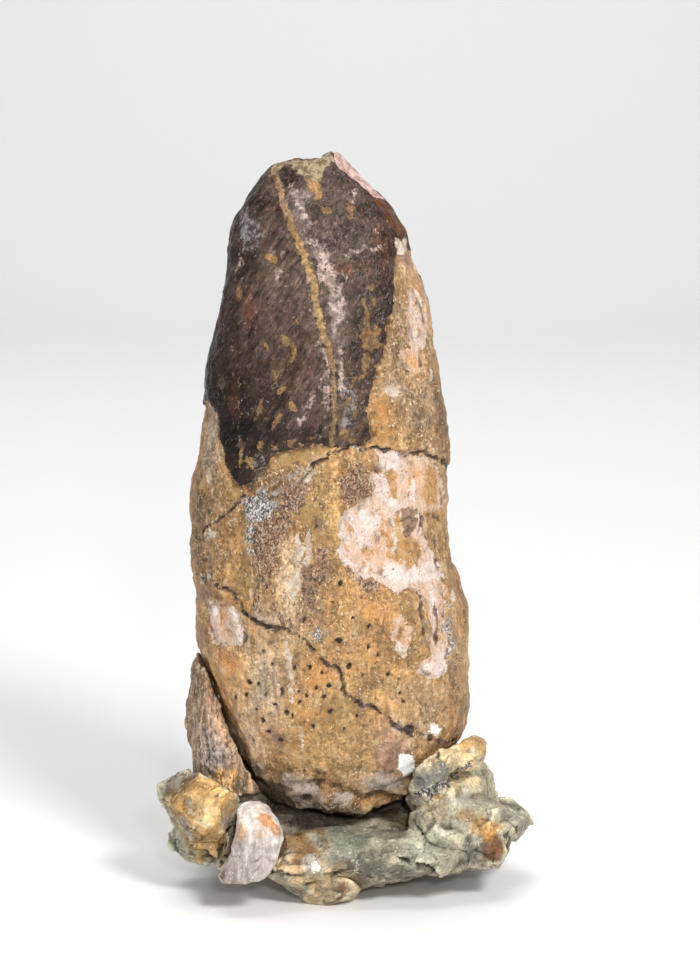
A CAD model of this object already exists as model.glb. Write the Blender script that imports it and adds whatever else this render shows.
"""Looks of a fossil sauropod tooth that stands in the lump of mudstone it was found in.

Lengths are in millimetres until a mesh is made. +Z is up, and the side on show faces -Y.
"""

import math
from typing import NamedTuple

import bpy
import numpy as np
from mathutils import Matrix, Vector
from mathutils.bvhtree import BVHTree


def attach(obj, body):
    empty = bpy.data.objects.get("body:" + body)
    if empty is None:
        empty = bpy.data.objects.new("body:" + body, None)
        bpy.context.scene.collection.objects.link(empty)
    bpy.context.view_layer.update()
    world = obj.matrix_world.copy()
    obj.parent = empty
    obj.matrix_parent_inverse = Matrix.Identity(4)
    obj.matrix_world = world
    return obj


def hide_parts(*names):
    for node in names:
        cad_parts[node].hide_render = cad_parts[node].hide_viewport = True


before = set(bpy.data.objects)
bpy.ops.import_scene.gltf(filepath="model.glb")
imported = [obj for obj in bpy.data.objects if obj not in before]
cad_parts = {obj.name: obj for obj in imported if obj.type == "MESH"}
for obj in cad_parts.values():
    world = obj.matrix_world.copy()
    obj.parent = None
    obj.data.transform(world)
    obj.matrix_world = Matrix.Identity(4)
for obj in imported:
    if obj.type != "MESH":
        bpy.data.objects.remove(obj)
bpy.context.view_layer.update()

# ---------------------------------------------------------------------------------------------------
# Studio. A pale floor that sweeps up into a pale backdrop, soft lamps, and a long lens that looks down
# ten degrees. Marks on the pieces below are placed by pixels of this view, 700 wide and 968 high.

MM = 0.001
VIEW_WIDE, VIEW_HIGH = 700, 968
PIXELS_PER_MM = 7.43
CAMERA_DISTANCE = 450.0
CAMERA_DOWN = math.radians(10)
CAMERA_TARGET = np.array((0.74, 10.27, 52.17))
SENSOR = 36.0

looking = np.array((0.0, math.cos(CAMERA_DOWN), -math.sin(CAMERA_DOWN)))
upward = np.array((0.0, math.sin(CAMERA_DOWN), math.cos(CAMERA_DOWN)))
camera_spot = CAMERA_TARGET - looking * CAMERA_DISTANCE


def placed(name, data):
    """An object of its own in the scene."""
    thing = bpy.data.objects.new(name, data)
    bpy.context.scene.collection.objects.link(thing)
    return thing


camera_data = bpy.data.cameras.new("camera")
camera_data.sensor_width = SENSOR
camera_data.lens = SENSOR * CAMERA_DISTANCE * PIXELS_PER_MM / VIEW_HIGH
camera_data.clip_end = 10.0
camera = placed("camera", camera_data)
camera.location = camera_spot * MM
camera.rotation_euler = (math.pi / 2 - CAMERA_DOWN, 0, 0)
bpy.context.scene.camera = camera
bpy.context.scene.view_settings.view_transform = "Standard"


def in_view(points):
    """The pixel of the view that each point shows at."""
    away = points - camera_spot
    deep = away @ looking
    scale = PIXELS_PER_MM * CAMERA_DISTANCE / deep
    return VIEW_WIDE / 2 + away[..., 0] * scale, VIEW_HIGH / 2 - (away @ upward) * scale


class Lamp(NamedTuple):
    """A soft square lamp: where it hangs, how big and bright it is, and the point that it faces."""

    spot: tuple
    size: float
    watts: float
    colour: tuple
    aim: tuple = (0, 0, 50)


LAMPS = {
    "key": Lamp((230, -420, 420), 130, 2.8, (1.0, 0.985, 0.96)),
    "glint": Lamp((40, -460, 190), 30, 0.5, (1.0, 1.0, 1.0)),
    "fill": Lamp((-420, -300, 160), 340, 0.34, (0.95, 0.97, 1.0)),
    "top": Lamp((-40, 60, 480), 300, 1.2, (1.0, 1.0, 1.0)),
    "backdrop": Lamp((0, 330, 520), 400, 1.3, (1.0, 1.0, 1.0), (0, 800, 240)),
}

for name, lamp in LAMPS.items():
    light = bpy.data.lights.new(name, "AREA")
    light.size = lamp.size * MM
    light.energy = lamp.watts
    light.color = lamp.colour
    holder = placed(name, light)
    holder.location = Vector(lamp.spot) * MM
    holder.rotation_euler = (Vector(lamp.aim) - Vector(lamp.spot)).to_track_quat("-Z", "Y").to_euler()

AIR_COLOUR, AIR_STRENGTH = (0.98, 0.99, 1.0, 1), 0.26
PAPER_COLOUR, PAPER_ROUGHNESS = (0.86, 0.86, 0.86, 1), 0.9
FLOOR_HALF, FLOOR_FRONT, WALL_HIGH = 1200.0, -900.0, 1100.0
SWEEP_RADIUS, SWEEP_START, SWEEP_STEPS = 220.0, 560.0, 13

world = bpy.data.worlds.new("studio_air")
bpy.context.scene.world = world
world.use_nodes = True
air = world.node_tree.nodes["Background"].inputs
air["Color"].default_value = AIR_COLOUR
air["Strength"].default_value = AIR_STRENGTH

profile = [(FLOOR_FRONT, 0.0), (SWEEP_START, 0.0)]
for turn in np.linspace(0, math.pi / 2, SWEEP_STEPS)[1:]:
    profile.append((SWEEP_START + SWEEP_RADIUS * math.sin(turn), SWEEP_RADIUS * (1 - math.cos(turn))))
profile.append((SWEEP_START + SWEEP_RADIUS, WALL_HIGH))
floor_mesh = bpy.data.meshes.new("floor")
floor_mesh.from_pydata(
    [(x * MM, y * MM, z * MM) for y, z in profile for x in (-FLOOR_HALF, FLOOR_HALF)],
    [],
    [(2 * i, 2 * i + 1, 2 * i + 3, 2 * i + 2) for i in range(len(profile) - 1)],
)
floor_mesh.shade_smooth()
floor = placed("floor", floor_mesh)
floor_finish = bpy.data.materials.new("pale_paper")
floor_finish.use_nodes = True
floor_shader = floor_finish.node_tree.nodes["Principled BSDF"]
floor_shader.inputs["Base Color"].default_value = PAPER_COLOUR
floor_shader.inputs["Roughness"].default_value = PAPER_ROUGHNESS
floor_mesh.materials.append(floor_finish)

# ---------------------------------------------------------------------------------------------------
# Tooth, its form. A crown of dark wrinkled enamel on a long dentine root, broken across twice and
# healed. Its skin is a grid: columns run from the root's end to the tip, closest together in front.

COLUMNS, ROWS = 330, 285
FRONT_CROWDING = 0.8  # spacing of the columns in front, against the average
AXIS_FOOT = np.array((-0.4, 2.0, 16.0))
AXIS_HEAD = np.array((-3.6, 4.1, 91.0))
FACET_BLUR = 0.8  # smooths the solid's facets away
END_RAYS, SIDE_RAYS = 40, 260  # how many rays are shot round each end of the axis, and from along it
LOWEST_RAY, HIGHEST_RAY = -88, 86  # degrees
BACK_START, BACK_FADE = 0.5, 0.2  # where the back begins, in half turns from the front, and its margin
HASH_KEYS, HASH_STIR = (73856093, 19349663, 83492791), 2246822519
OCTAVE_SHIFT, NOISE_GAIN = 17.3, 1.8


def solid_of(node):
    """A CAD node's solid in millimetres, for rays to be shot at."""
    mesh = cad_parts[node].data
    mesh.calc_loop_triangles()
    corners = [v.co / MM for v in mesh.vertices]
    return BVHTree.FromPolygons(corners, [tuple(t.vertices) for t in mesh.loop_triangles])


def blurred(field, columns, rows):
    """A grid's field blurred by so many columns and rows: it closes on itself round the tooth."""
    def weights(sigma):
        reach = np.arange(-int(3 * sigma) - 1, int(3 * sigma) + 2)
        bell = np.exp(-0.5 * (reach / sigma) ** 2)
        return reach, bell / bell.sum()

    across = sum(w * np.roll(field, k, axis=1) for k, w in zip(*weights(columns)))
    last = field.shape[0] - 1
    return sum(w * across[np.clip(np.arange(last + 1) + k, 0, last)] for k, w in zip(*weights(rows)))


def grid_normals(points):
    """The way out of the surface at every point of a grid."""
    along = np.gradient(points, axis=0)
    around = np.roll(points, -1, axis=1) - np.roll(points, 1, axis=1)
    facing = np.cross(around, along)
    return facing / np.maximum(np.linalg.norm(facing, axis=-1, keepdims=True), 1e-9)


def cast_column(solid, outward):
    """The solid's outline in one direction from the axis: round the foot, up the side, over the tip."""
    low_turns = np.radians(np.linspace(LOWEST_RAY, 0, END_RAYS, endpoint=False))
    high_turns = np.radians(np.linspace(0, HIGHEST_RAY, END_RAYS))
    rays = [(AXIS_FOOT, turn) for turn in low_turns]
    rays += [(AXIS_FOOT + (AXIS_HEAD - AXIS_FOOT) * share, 0.0) for share in np.linspace(0, 1, SIDE_RAYS)]
    rays += [(AXIS_HEAD, turn) for turn in high_turns[1:]]
    found = []
    for start, turn in rays:
        aim = Vector((outward[0] * math.cos(turn), outward[1] * math.cos(turn), math.sin(turn)))
        hit = solid.ray_cast(Vector(start), aim)[0]
        if hit is not None:
            found.append(hit)
    found = np.array(found)
    walked = np.concatenate([[0], np.cumsum(np.linalg.norm(np.diff(found, axis=0), axis=1))])
    even = np.linspace(0, walked[-1], ROWS)
    return np.stack([np.interp(even, walked, found[:, axis]) for axis in range(3)], axis=1)


share_round = np.linspace(-1, 1, COLUMNS, endpoint=False)
bearing = math.pi * (FRONT_CROWDING * share_round + (1 - FRONT_CROWDING) * share_round**3)
tooth_solid = solid_of("tooth")
plain = np.stack([cast_column(tooth_solid, (math.sin(b), -math.cos(b))) for b in bearing], axis=1)
column_step = np.linalg.norm(plain - np.roll(plain, 1, axis=1), axis=-1).mean()
row_step = np.linalg.norm(np.diff(plain, axis=0), axis=-1).mean()
plain = blurred(plain, FACET_BLUR / column_step, FACET_BLUR / row_step)
facing = grid_normals(plain)

# The tooth unrolled: arc is the way round from the middle of the front, height is Z.
front_column = int(np.argmin(np.abs(bearing)))
steps_round = np.linalg.norm(np.roll(plain, -1, axis=1) - plain, axis=-1)
walked_round = np.concatenate([np.zeros((ROWS, 1)), np.cumsum(steps_round[:, :-1], axis=1)], axis=1)
arc = walked_round - walked_round[:, front_column : front_column + 1]
height = plain[..., 2]
half_girth = steps_round.sum(axis=1, keepdims=True) / 2
backness = np.clip((np.abs(bearing)[None] / math.pi - BACK_START) / BACK_FADE, 0, 1) * np.ones_like(arc)

NOISE_TABLE = np.random.default_rng(7).normal(size=(256, 3))
NOISE_TABLE /= np.linalg.norm(NOISE_TABLE, axis=1, keepdims=True)


def chosen_lean(cell):
    """A random direction for each cell of a grid."""
    key = (cell * HASH_KEYS).sum(-1)
    key = (key ^ (key >> 15)) * HASH_STIR
    return NOISE_TABLE[(key ^ (key >> 13)) & 255]


def rough(points, size, octaves=1, seed=0):
    """Smooth random relief, about -1 to 1, with lumps of a size in millimetres; later octaves halve it."""
    total = np.zeros(points.shape[:-1])
    for octave in range(octaves):
        spot = points * 2.0**octave / size + OCTAVE_SHIFT * (seed + octave)
        cell = np.floor(spot).astype(np.int64)
        inside = spot - cell
        ease = inside**3 * (inside * (inside * 6 - 15) + 10)
        value = 0
        for corner in np.ndindex(2, 2, 2):
            share = np.prod(np.where(corner, ease, 1 - ease), axis=-1)
            value = value + share * ((inside - corner) * chosen_lean(cell + corner)).sum(-1)
        total += value * NOISE_GAIN / 2.0**octave
    return total


def step(low, high, value):
    """0 below low, 1 above high, and an easy rise between."""
    t = np.clip((value - low) / (high - low), 0, 1)
    return t * t * (3 - 2 * t)


# ---------------------------------------------------------------------------------------------------
# Tooth, its marks. Each kind is a list of outlines, lines and dabs in pixels of the view, laid on the
# unrolled tooth. A point past the tooth's edge wraps round its side, as far as it is past.

EDGE_WANDER = 0.42  # how far a mark's edge strays from its outline
view_x, view_y = in_view(plain)
shown = (facing * (camera_spot - plain)).sum(-1) > 0


def on_tooth(x, y):
    """Arc and height of a pixel of the view."""
    nearest = np.argmin(np.where(shown, (view_x - x) ** 2 + (view_y - y) ** 2, 1e9))
    past_x = (x - view_x.flat[nearest]) / PIXELS_PER_MM
    past_y = (view_y.flat[nearest] - y) / PIXELS_PER_MM
    return arc.flat[nearest] + past_x, height.flat[nearest] + past_y


class Outline(NamedTuple):
    """A closed patch."""

    points: tuple


class Line(NamedTuple):
    """A stroke of a width in pixels along a course; it thins to its ends if it tapers."""

    width: float
    points: tuple
    tapers: bool = False


class Dab(NamedTuple):
    """An oval: its middle, its half sizes, and how far it leans to the right, in degrees."""

    x: float
    y: float
    wide: float
    high: float
    lean: float = 0.0


def outline(*points):
    return Outline(points)


def line(width, *points):
    return Line(width, points)


def streak(width, *points):
    return Line(width, points, True)


stray = np.stack([rough(plain, 2.4, 2, seed) for seed in (1, 2)], axis=-1)
marked_arc = arc + EDGE_WANDER * stray[..., 0]
marked_height = height + EDGE_WANDER * stray[..., 1]
back_arc = np.sign(arc) * (half_girth - np.abs(arc)) + EDGE_WANDER * stray[..., 1]
BACK_DROP, BACK_SHRINK = 2.5, 12.0  # marks on the back: how much lower, and how fast they die away


def along_course(course, closed, s, h):
    """Distance from every point of the grid to a course, and whether it lies inside it."""
    ends = list(zip(course, course[1:] + course[:1] if closed else course[1:]))
    nearest = np.full(s.shape, 1e9)
    share = np.zeros(s.shape)
    inside = np.zeros(s.shape, bool)
    for index, ((ax, ay), (bx, by)) in enumerate(ends):
        dx, dy = bx - ax, by - ay
        t = np.clip(((s - ax) * dx + (h - ay) * dy) / max(dx * dx + dy * dy, 1e-9), 0, 1)
        off = np.hypot(s - ax - t * dx, h - ay - t * dy)
        share = np.where(off < nearest, (index + t) / len(ends), share)
        nearest = np.minimum(nearest, off)
        if ay != by:
            inside ^= ((ay > h) != (by > h)) & (s < ax + (h - ay) * dx / (by - ay))
    return nearest, inside, share


def depth_in(mark, s=marked_arc, h=marked_height):
    """How deep each point of the grid lies inside a mark, in millimetres; negative is outside."""
    if isinstance(mark, Dab):
        middle = on_tooth(mark.x, mark.y)
        lean = math.radians(mark.lean)
        right, up = s - middle[0], h - middle[1]
        wide, high = mark.wide / PIXELS_PER_MM, mark.high / PIXELS_PER_MM
        turned = (right * math.cos(lean) - up * math.sin(lean)) / wide
        stood = (right * math.sin(lean) + up * math.cos(lean)) / high
        return (1 - np.hypot(turned, stood)) * min(wide, high)
    course = [on_tooth(x, y) for x, y in mark.points]
    off, inside, share = along_course(course, isinstance(mark, Outline), s, h)
    if isinstance(mark, Outline):
        return np.where(inside, off, -off)
    half = mark.width / 2 / PIXELS_PER_MM
    return (half * np.sqrt(np.clip(4 * share * (1 - share), 0.02, 1)) if mark.tapers else half) - off


def depth_of(marks, on_back=True):
    """The deepest that any mark of a kind reaches, on the front and, turned round, on the back."""
    found = np.max([depth_in(mark) for mark in marks], axis=0)
    if not on_back:
        return found
    behind = np.max([depth_in(mark, back_arc, marked_height + BACK_DROP) for mark in marks], axis=0)
    return np.maximum(found, behind - BACK_SHRINK * (1 - backness))


ENAMEL = outline(
    (-40, 452), (20, 455), (60, 470), (110, 450), (160, 424), (192, 404), (209, 403), (216, 408),
    (220, 418), (219, 436), (224, 451), (227, 466), (234, 478), (242, 487), (253, 481), (258, 469),
    (269, 462), (272, 454), (284, 450), (300, 446), (323, 447), (345, 449), (362, 446), (372, 438),
    (370, 424), (368, 408), (370, 395), (374, 382), (376, 368), (382, 355), (386, 335), (388, 319),
    (393, 306), (392, 298), (395, 280), (395, 262), (396, 242), (404, 236), (425, 262), (445, 300),
    (470, 360), (520, 420), (580, 445), (640, 452), (700, 452), (700, 60), (-40, 60),
)

FILLED_CRACK = [
    line(7.6, (275, 172), (279, 184), (284, 201), (290, 219), (296, 237), (303, 255), (309, 270),
        (314, 285)),
    line(6.8, (314, 285), (316, 300), (319, 318), (322, 333), (328, 345)),
    line(5.4, (328, 345), (332, 363), (333.5, 382), (334, 402), (334, 418), (332, 432), (330, 449)),
]

TAN_CRUST = [
    line(1.1, (243, 372), (241, 400), (242, 430), (241, 452), (243, 468)),
    outline((281, 339), (286, 336), (293, 339), (296, 347), (299, 352), (298, 359), (294, 358),
        (291, 348), (283, 349)),
    outline((286, 363), (291, 359), (295, 360), (292, 366), (287, 368)),
    outline((272, 368), (276, 368), (278, 376), (280, 381), (275, 382), (272, 377)),
    outline((279, 390), (285, 386), (290, 388), (286, 394), (280, 396)), Dab(294.5, 406, 4.4, 3.8),
    streak(3.4, (264, 398), (262, 408), (258, 417)),
    outline((275, 413), (281, 411), (283, 416), (279, 424), (274, 430), (271, 428), (274, 420)),
    outline((248, 458), (252, 455), (255, 461), (253, 469), (249, 469)),
    outline((362, 327), (367, 325), (371, 331), (376, 326), (381, 331), (378, 339), (381, 345),
        (374, 348), (368, 350), (362, 347), (365, 340), (362, 334)),
    outline((360, 356), (366, 353), (370, 358), (371, 366), (366, 372), (363, 381), (358, 382),
        (361, 373), (359, 365)),
    outline((350, 379), (354, 377), (354, 386), (349, 389)), Dab(348, 399, 3, 4.5, 15),
    outline((365, 283), (370, 284), (373, 289), (370, 293), (366, 288)),
    outline((362, 297), (366, 300), (367, 309), (371, 311), (370, 318), (373, 324), (367, 325),
        (364, 318), (361, 308)),
    outline((372, 297), (376, 299), (373, 304)),
    outline((342, 205), (347, 203), (349, 208), (354, 210), (355, 216), (350, 221), (346, 215)),
    outline((322, 208), (327, 207), (332, 213), (327, 216)),
    outline((266, 255), (271, 254), (276, 257), (277, 263), (270, 263)),
    outline((239, 286), (243, 285), (244, 292), (241, 301), (237, 299)),
    outline((303, 181), (310, 178), (318, 182), (323, 193), (318, 200), (314, 203), (311, 194),
        (305, 188)),
    Dab(258, 416, 1.8, 3.0), Dab(296, 325, 2.2, 3.4, 20), Dab(268, 346, 1.8, 3.4), Dab(342, 330, 2, 2.4),
    Dab(357, 412, 3.2, 4.6, 30), Dab(310, 440, 4.4, 3.0), Dab(262, 446, 3.0, 4.6), Dab(343, 433, 4, 5),
    Dab(291, 442, 3.4, 2.6), Dab(352, 440, 5, 4), Dab(276, 447, 5, 3),
]

PALE_MARKS = [
    outline((302, 477), (309, 470), (317, 468), (316, 475), (310, 483), (304, 483)),
    outline((394, 240), (401, 235), (409, 240), (406, 249), (398, 253), (393, 248)),
    streak(7.0, (298, 530), (299, 550), (297, 574), (293, 600)),
    outline((307, 531), (312, 529), (313, 545), (311, 563), (305, 564), (304, 548)),
    outline((291, 577), (298, 572), (303, 580), (301, 592), (293, 597), (289, 588)),
    streak(5.0, (286, 640), (288, 660), (290, 682), (292, 704)),
    streak(3.6, (301, 730), (302, 742), (301, 752)), Dab(209, 476, 4, 8), Dab(212, 536, 7, 4.4, -40),
    Dab(201, 580, 5, 6), Dab(209, 578, 4, 5), Dab(237, 738, 3.4, 12, -10), Dab(262, 766, 7, 4.5, 20),
    Dab(392, 393, 6, 4), streak(3.2, (429, 362), (431, 376), (430, 388)),
    outline((424, 727), (432, 724), (442, 728), (441, 733), (430, 734)), Dab(438, 366, 2.6, 6),
    Dab(452, 596, 4, 5), Dab(402, 652, 7, 3.0, 60), streak(6, (413, 308), (417, 326), (416, 346)),
]

SLATY_MARKS = [
    outline((282, 777), (290, 774), (302, 781), (314, 790), (322, 797), (310, 798), (296, 790),
        (283, 784)),
    streak(8, (262, 782), (272, 790), (284, 797)), streak(5, (290, 797), (304, 803), (318, 807)),
    outline((363, 779), (378, 774), (396, 780), (404, 787), (392, 790), (388, 795), (376, 792),
        (366, 787)),
    streak(3.4, (256, 490), (272, 482), (290, 474), (306, 468), (321, 460)),
    streak(3.0, (260, 497), (278, 490), (296, 483), (314, 474)),
    streak(2.4, (222, 724), (228, 742), (236, 762)), Dab(402, 727, 8, 5, -10), Dab(238, 752, 3, 14, -12),
    streak(3, (236, 704), (240, 730), (246, 756)), Dab(344, 800, 8, 4, -10), Dab(262, 622, 10, 3, 20),
]

HAZE_MARKS = [
    streak(4.0, (290, 182), (299, 202), (307, 228)),
    outline((312, 240), (319, 240), (327, 258), (335, 272), (340, 292), (331, 296), (323, 282),
        (316, 262)),
    outline((330, 294), (338, 292), (342, 306), (340, 324), (334, 332), (331, 312)),
    streak(3.0, (310, 272), (313, 296), (318, 322), (324, 340)),
    streak(3.6, (322, 342), (327, 364), (328, 392), (325, 412)),
    streak(2.6, (338, 350), (340, 372), (340, 396)), Dab(281, 273, 2.0, 5),
    streak(0.8, (345, 258), (356, 250), (368, 248), (384, 246)), Dab(240, 268, 1.4, 4, 20),
    Dab(352, 196, 1.2, 3.4, 30), streak(1.2, (314, 392), (308, 408), (300, 424)),
]

CALCITE = [
    outline((399, 757), (405, 752), (413, 754), (414, 778), (404, 780), (397, 771)),
    Dab(434, 729, 10, 3.6, -6),
]

GLITTER = [
    outline((243, 500), (250, 494), (262, 492), (272, 496), (276, 506), (271, 516), (262, 521),
        (248, 519)),
    Dab(250, 532, 3, 12), Dab(352, 447, 9, 3), Dab(318, 634, 7, 4), Dab(449, 636, 4, 20),
    Dab(402, 727, 7, 5),
]

FLAKE_SCARS = [
    outline((375, 450), (388, 449), (402, 452), (420, 455), (434, 461), (442, 478), (444, 500),
        (440, 520), (424, 520), (421, 534), (434, 546), (440, 566), (444, 580), (446, 598), (449, 618),
        (450, 650), (447, 668), (440, 678), (426, 680), (418, 670), (424, 660), (432, 655), (432, 640),
        (429, 612), (424, 600), (408, 590), (396, 596), (389, 588), (372, 581), (356, 575), (345, 566),
        (338, 548), (338, 528), (345, 512), (360, 503), (369, 495), (370, 478), (379, 463)),
    outline((208, 606), (214, 600), (223, 604), (233, 606), (239, 612), (241, 628), (248, 634),
        (247, 642), (234, 647), (220, 648), (211, 640), (208, 624)),
    outline((408, 292), (414, 284), (419, 292), (423, 304), (427, 320), (428, 344), (420, 352),
        (411, 350), (407, 336), (409, 316)),
    outline((400, 352), (410, 347), (424, 350), (425, 366), (414, 374), (401, 368)),
    outline((393, 622), (402, 614), (412, 628), (413, 640), (401, 655), (396, 650)),
]

SCAR_AMBERS = [
    outline((382, 470), (391, 469), (398, 476), (400, 490), (396, 498), (388, 495), (387, 484)),
    outline((394, 513), (403, 510), (405, 536), (417, 538), (423, 550), (422, 564), (412, 569),
        (404, 560), (398, 566), (392, 556), (394, 534)),
    outline((424, 464), (435, 467), (439, 480), (437, 500), (431, 509), (425, 498), (427, 482)),
    outline((346, 524), (352, 526), (352, 540), (347, 540)),
    streak(5, (384, 530), (390, 546), (388, 560)), streak(2.6, (362, 556), (368, 549), (377, 553)),
    streak(2.4, (362, 558), (368, 568), (378, 574)),
    outline((426, 511), (445, 509), (447, 562), (436, 560), (428, 546), (431, 528)),
    outline((370, 462), (378, 464), (380, 473), (374, 474)),
    outline((404, 586), (418, 590), (424, 604), (428, 632), (424, 650), (414, 640), (410, 610)),
    streak(3, (441, 592), (443, 612), (440, 640)), streak(2, (409, 458), (411, 480), (410, 500)),
    Dab(402, 632, 3, 10, 20),
]

SCAR_WHITES = [
    outline((376, 451), (388, 450), (400, 454), (402, 463), (398, 471), (388, 469), (379, 461)),
    outline((371, 474), (380, 473), (388, 486), (391, 498), (401, 500), (400, 510), (388, 509),
        (378, 498)),
    streak(4.4, (354, 507), (344, 515), (339, 528), (339, 542), (343, 554), (352, 565), (362, 572),
        (376, 577)),
    outline((352, 514), (366, 511), (379, 517), (378, 532), (370, 545), (358, 544), (353, 530)),
    outline((384, 567), (396, 564), (408, 570), (421, 567), (432, 559), (444, 566), (445, 576),
        (430, 583), (412, 582), (400, 596), (391, 592), (386, 580)),
    streak(2.6, (396, 508), (397, 530), (391, 556)), streak(3.0, (418, 516), (423, 534), (433, 556)),
    Dab(414, 492, 3, 9), streak(5, (431, 586), (435, 602), (437, 618)),
    streak(3.6, (447, 592), (448, 620), (446, 656)),
    outline((424, 664), (436, 656), (448, 650), (448, 668), (438, 676), (426, 676)), Dab(367, 568, 5, 5),
    Dab(400, 648, 5, 5, 50), Dab(213, 612, 4, 8), Dab(238, 634, 6, 8), Dab(232, 616, 4, 6),
]

OCHRE_ISLANDS = [
    outline((314, 524), (322, 520), (324, 545), (318, 560), (314, 545)),
    outline((272, 452), (290, 449), (316, 448), (318, 455), (306, 459), (290, 463), (276, 470),
        (269, 464)),
    Dab(203, 486, 6, 8), Dab(212, 550, 5, 15), Dab(236, 492, 7, 12),
    outline((430, 285), (438, 300), (444, 345), (436, 345), (429, 310)),
    outline((296, 507), (310, 500), (320, 506), (322, 518), (310, 530), (298, 522)),
    outline((286, 742), (300, 738), (306, 756), (300, 768), (288, 764)),
]

ORANGE_STAINS = [
    outline((376, 402), (392, 398), (394, 420), (388, 446), (374, 447), (372, 428)),
    outline((308, 672), (322, 664), (332, 670), (334, 682), (322, 690), (310, 686)),
    outline((220, 655), (230, 652), (240, 664), (236, 676), (226, 684), (221, 674)), Dab(408, 768, 5, 6),
    Dab(350, 262, 8, 2.2, 60), Dab(416, 284, 5, 6), Dab(372, 610, 9, 6),
    outline((409, 470), (416, 462), (436, 470), (438, 500), (428, 506), (420, 500), (412, 505)),
    outline((355, 540), (362, 530), (372, 540), (378, 552), (366, 560), (357, 552)),
]

DARK_CHIPS = [
    outline((405, 509), (417, 511), (416, 532), (408, 537), (405, 528)),
    outline((419, 512), (425, 519), (424, 527), (420, 523)),
    outline((313, 518), (322, 516), (324, 526), (316, 531)),
    streak(7, (421, 590), (420, 612), (424, 636), (430, 652)),
    streak(5, (434, 596), (438, 618), (437, 646)),
    outline((305, 565), (313, 564), (313, 585), (309, 602), (305, 598)),
    outline((446, 458), (452, 466), (452, 480), (448, 474)),
    streak(6, (283, 170), (288, 178), (293, 188)), Dab(384, 340, 3, 6, 20), Dab(281, 508, 5, 3),
    Dab(323, 570, 2.4, 16), Dab(352, 492, 7, 4, 30),
]

MAUVE_STAINS = [
    outline((360, 578), (372, 578), (384, 583), (382, 590), (370, 589), (362, 585)),
    outline((308, 601), (318, 604), (324, 622), (318, 628), (311, 616)),
    outline((381, 741), (396, 744), (398, 770), (392, 781), (384, 770), (372, 756)),
    outline((282, 477), (298, 480), (312, 474), (312, 492), (300, 507), (284, 508), (277, 494)),
    Dab(276, 737, 6, 10), Dab(418, 336, 5, 5),
    outline((398, 252), (411, 248), (416, 258), (412, 268), (402, 266)),
    outline((402, 728), (412, 724), (422, 727), (419, 733), (406, 734)),
    outline((195, 590), (207, 586), (212, 598), (204, 604), (196, 602)),
    outline((364, 776), (384, 772), (402, 780), (392, 794), (372, 792)),
]

CRYSTAL_BANDS = [
    outline((254, 522), (262, 516), (276, 512), (279, 500), (284, 488), (296, 484), (310, 480),
        (308, 494), (303, 510), (292, 514), (286, 530), (279, 548), (274, 566), (271, 584), (264, 590),
        (257, 580), (254, 556), (255, 536)),
    outline((344, 474), (352, 467), (362, 466), (369, 474), (370, 490), (364, 502), (352, 508),
        (345, 504), (342, 490)),
    outline((306, 566), (314, 564), (316, 578), (314, 600), (308, 606), (305, 586)),
    outline((319, 549), (328, 550), (327, 572), (322, 590), (318, 574)),
    outline((345, 566), (356, 574), (368, 580), (384, 584), (380, 591), (362, 590), (348, 580)),
    outline((244, 213), (258, 214), (263, 228), (259, 246), (244, 250), (240, 232)),
    streak(14, (346, 385), (352, 405), (346, 436)), streak(5, (261, 452), (259, 468), (252, 484)),
    Dab(256, 604, 4, 12), Dab(286, 622, 8, 4, 20), Dab(430, 590, 6, 7),
]

PINK_BREAK = outline(
    (321, 146), (331, 158), (339, 169), (348, 176), (357, 184), (366, 191), (372, 197), (384, 197),
    (392, 186), (340, 140),
)

AMBER_RIM = outline(
    (367, 194), (384, 186), (424, 222), (412, 240), (399, 240), (391, 229), (383, 217), (375, 206),
)

TIP_BREAK = outline(
    (272, 176), (274, 162), (290, 150), (318, 148), (323, 158), (323, 172), (318, 182), (310, 186),
    (303, 179), (298, 168), (288, 166), (281, 172),
)

UPPER_BREAK = [
    streak(1.6, (192, 533), (203, 530), (224, 517), (240, 502), (246, 495)),
    streak(1.5, (300, 482), (312, 474), (318, 465)),
    streak(2.2, (314, 466), (326, 459), (336, 453), (348, 451)),
    streak(2.6, (366, 449), (378, 448), (392, 450), (402, 452)),
    streak(2.4, (400, 452), (408, 455), (420, 452), (432, 456), (442, 462)),
    line(6, (442, 460), (448, 468), (452, 476), (470, 484)),
    line(4, (470, 484), (520, 505), (620, 520), (740, 535)),
    line(4, (188, 536), (150, 545), (60, 540), (-60, 535)),
]

LOWER_BREAK = [
    streak(1.8, (196, 574), (206, 578), (214, 581)), Dab(217, 582, 4.0, 3.0),
    line(2.2, (219, 585), (228, 591), (238, 602)),
    streak(4.6, (234, 598), (246, 613), (257, 624), (268, 626), (281, 629), (292, 634)),
    line(1.2, (289, 633), (302, 638)),
    streak(3.6, (302, 636), (308, 646), (316, 650), (323, 660), (338, 668), (343, 674)),
    line(2.6, (340, 671), (344, 682), (346, 697)),
    streak(2.6, (346, 697), (352, 698), (356, 702), (368, 706), (380, 713)),
    streak(2.8, (388, 716), (394, 724), (404, 731), (420, 735)), Dab(410, 732, 8, 4.4, 70),
    line(2.4, (418, 735), (445, 742), (480, 745)),
    line(4.4, (480, 745), (540, 720), (620, 690), (740, 660)),
    line(4.4, (190, 572), (140, 590), (60, 625), (-60, 660)),
]

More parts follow.
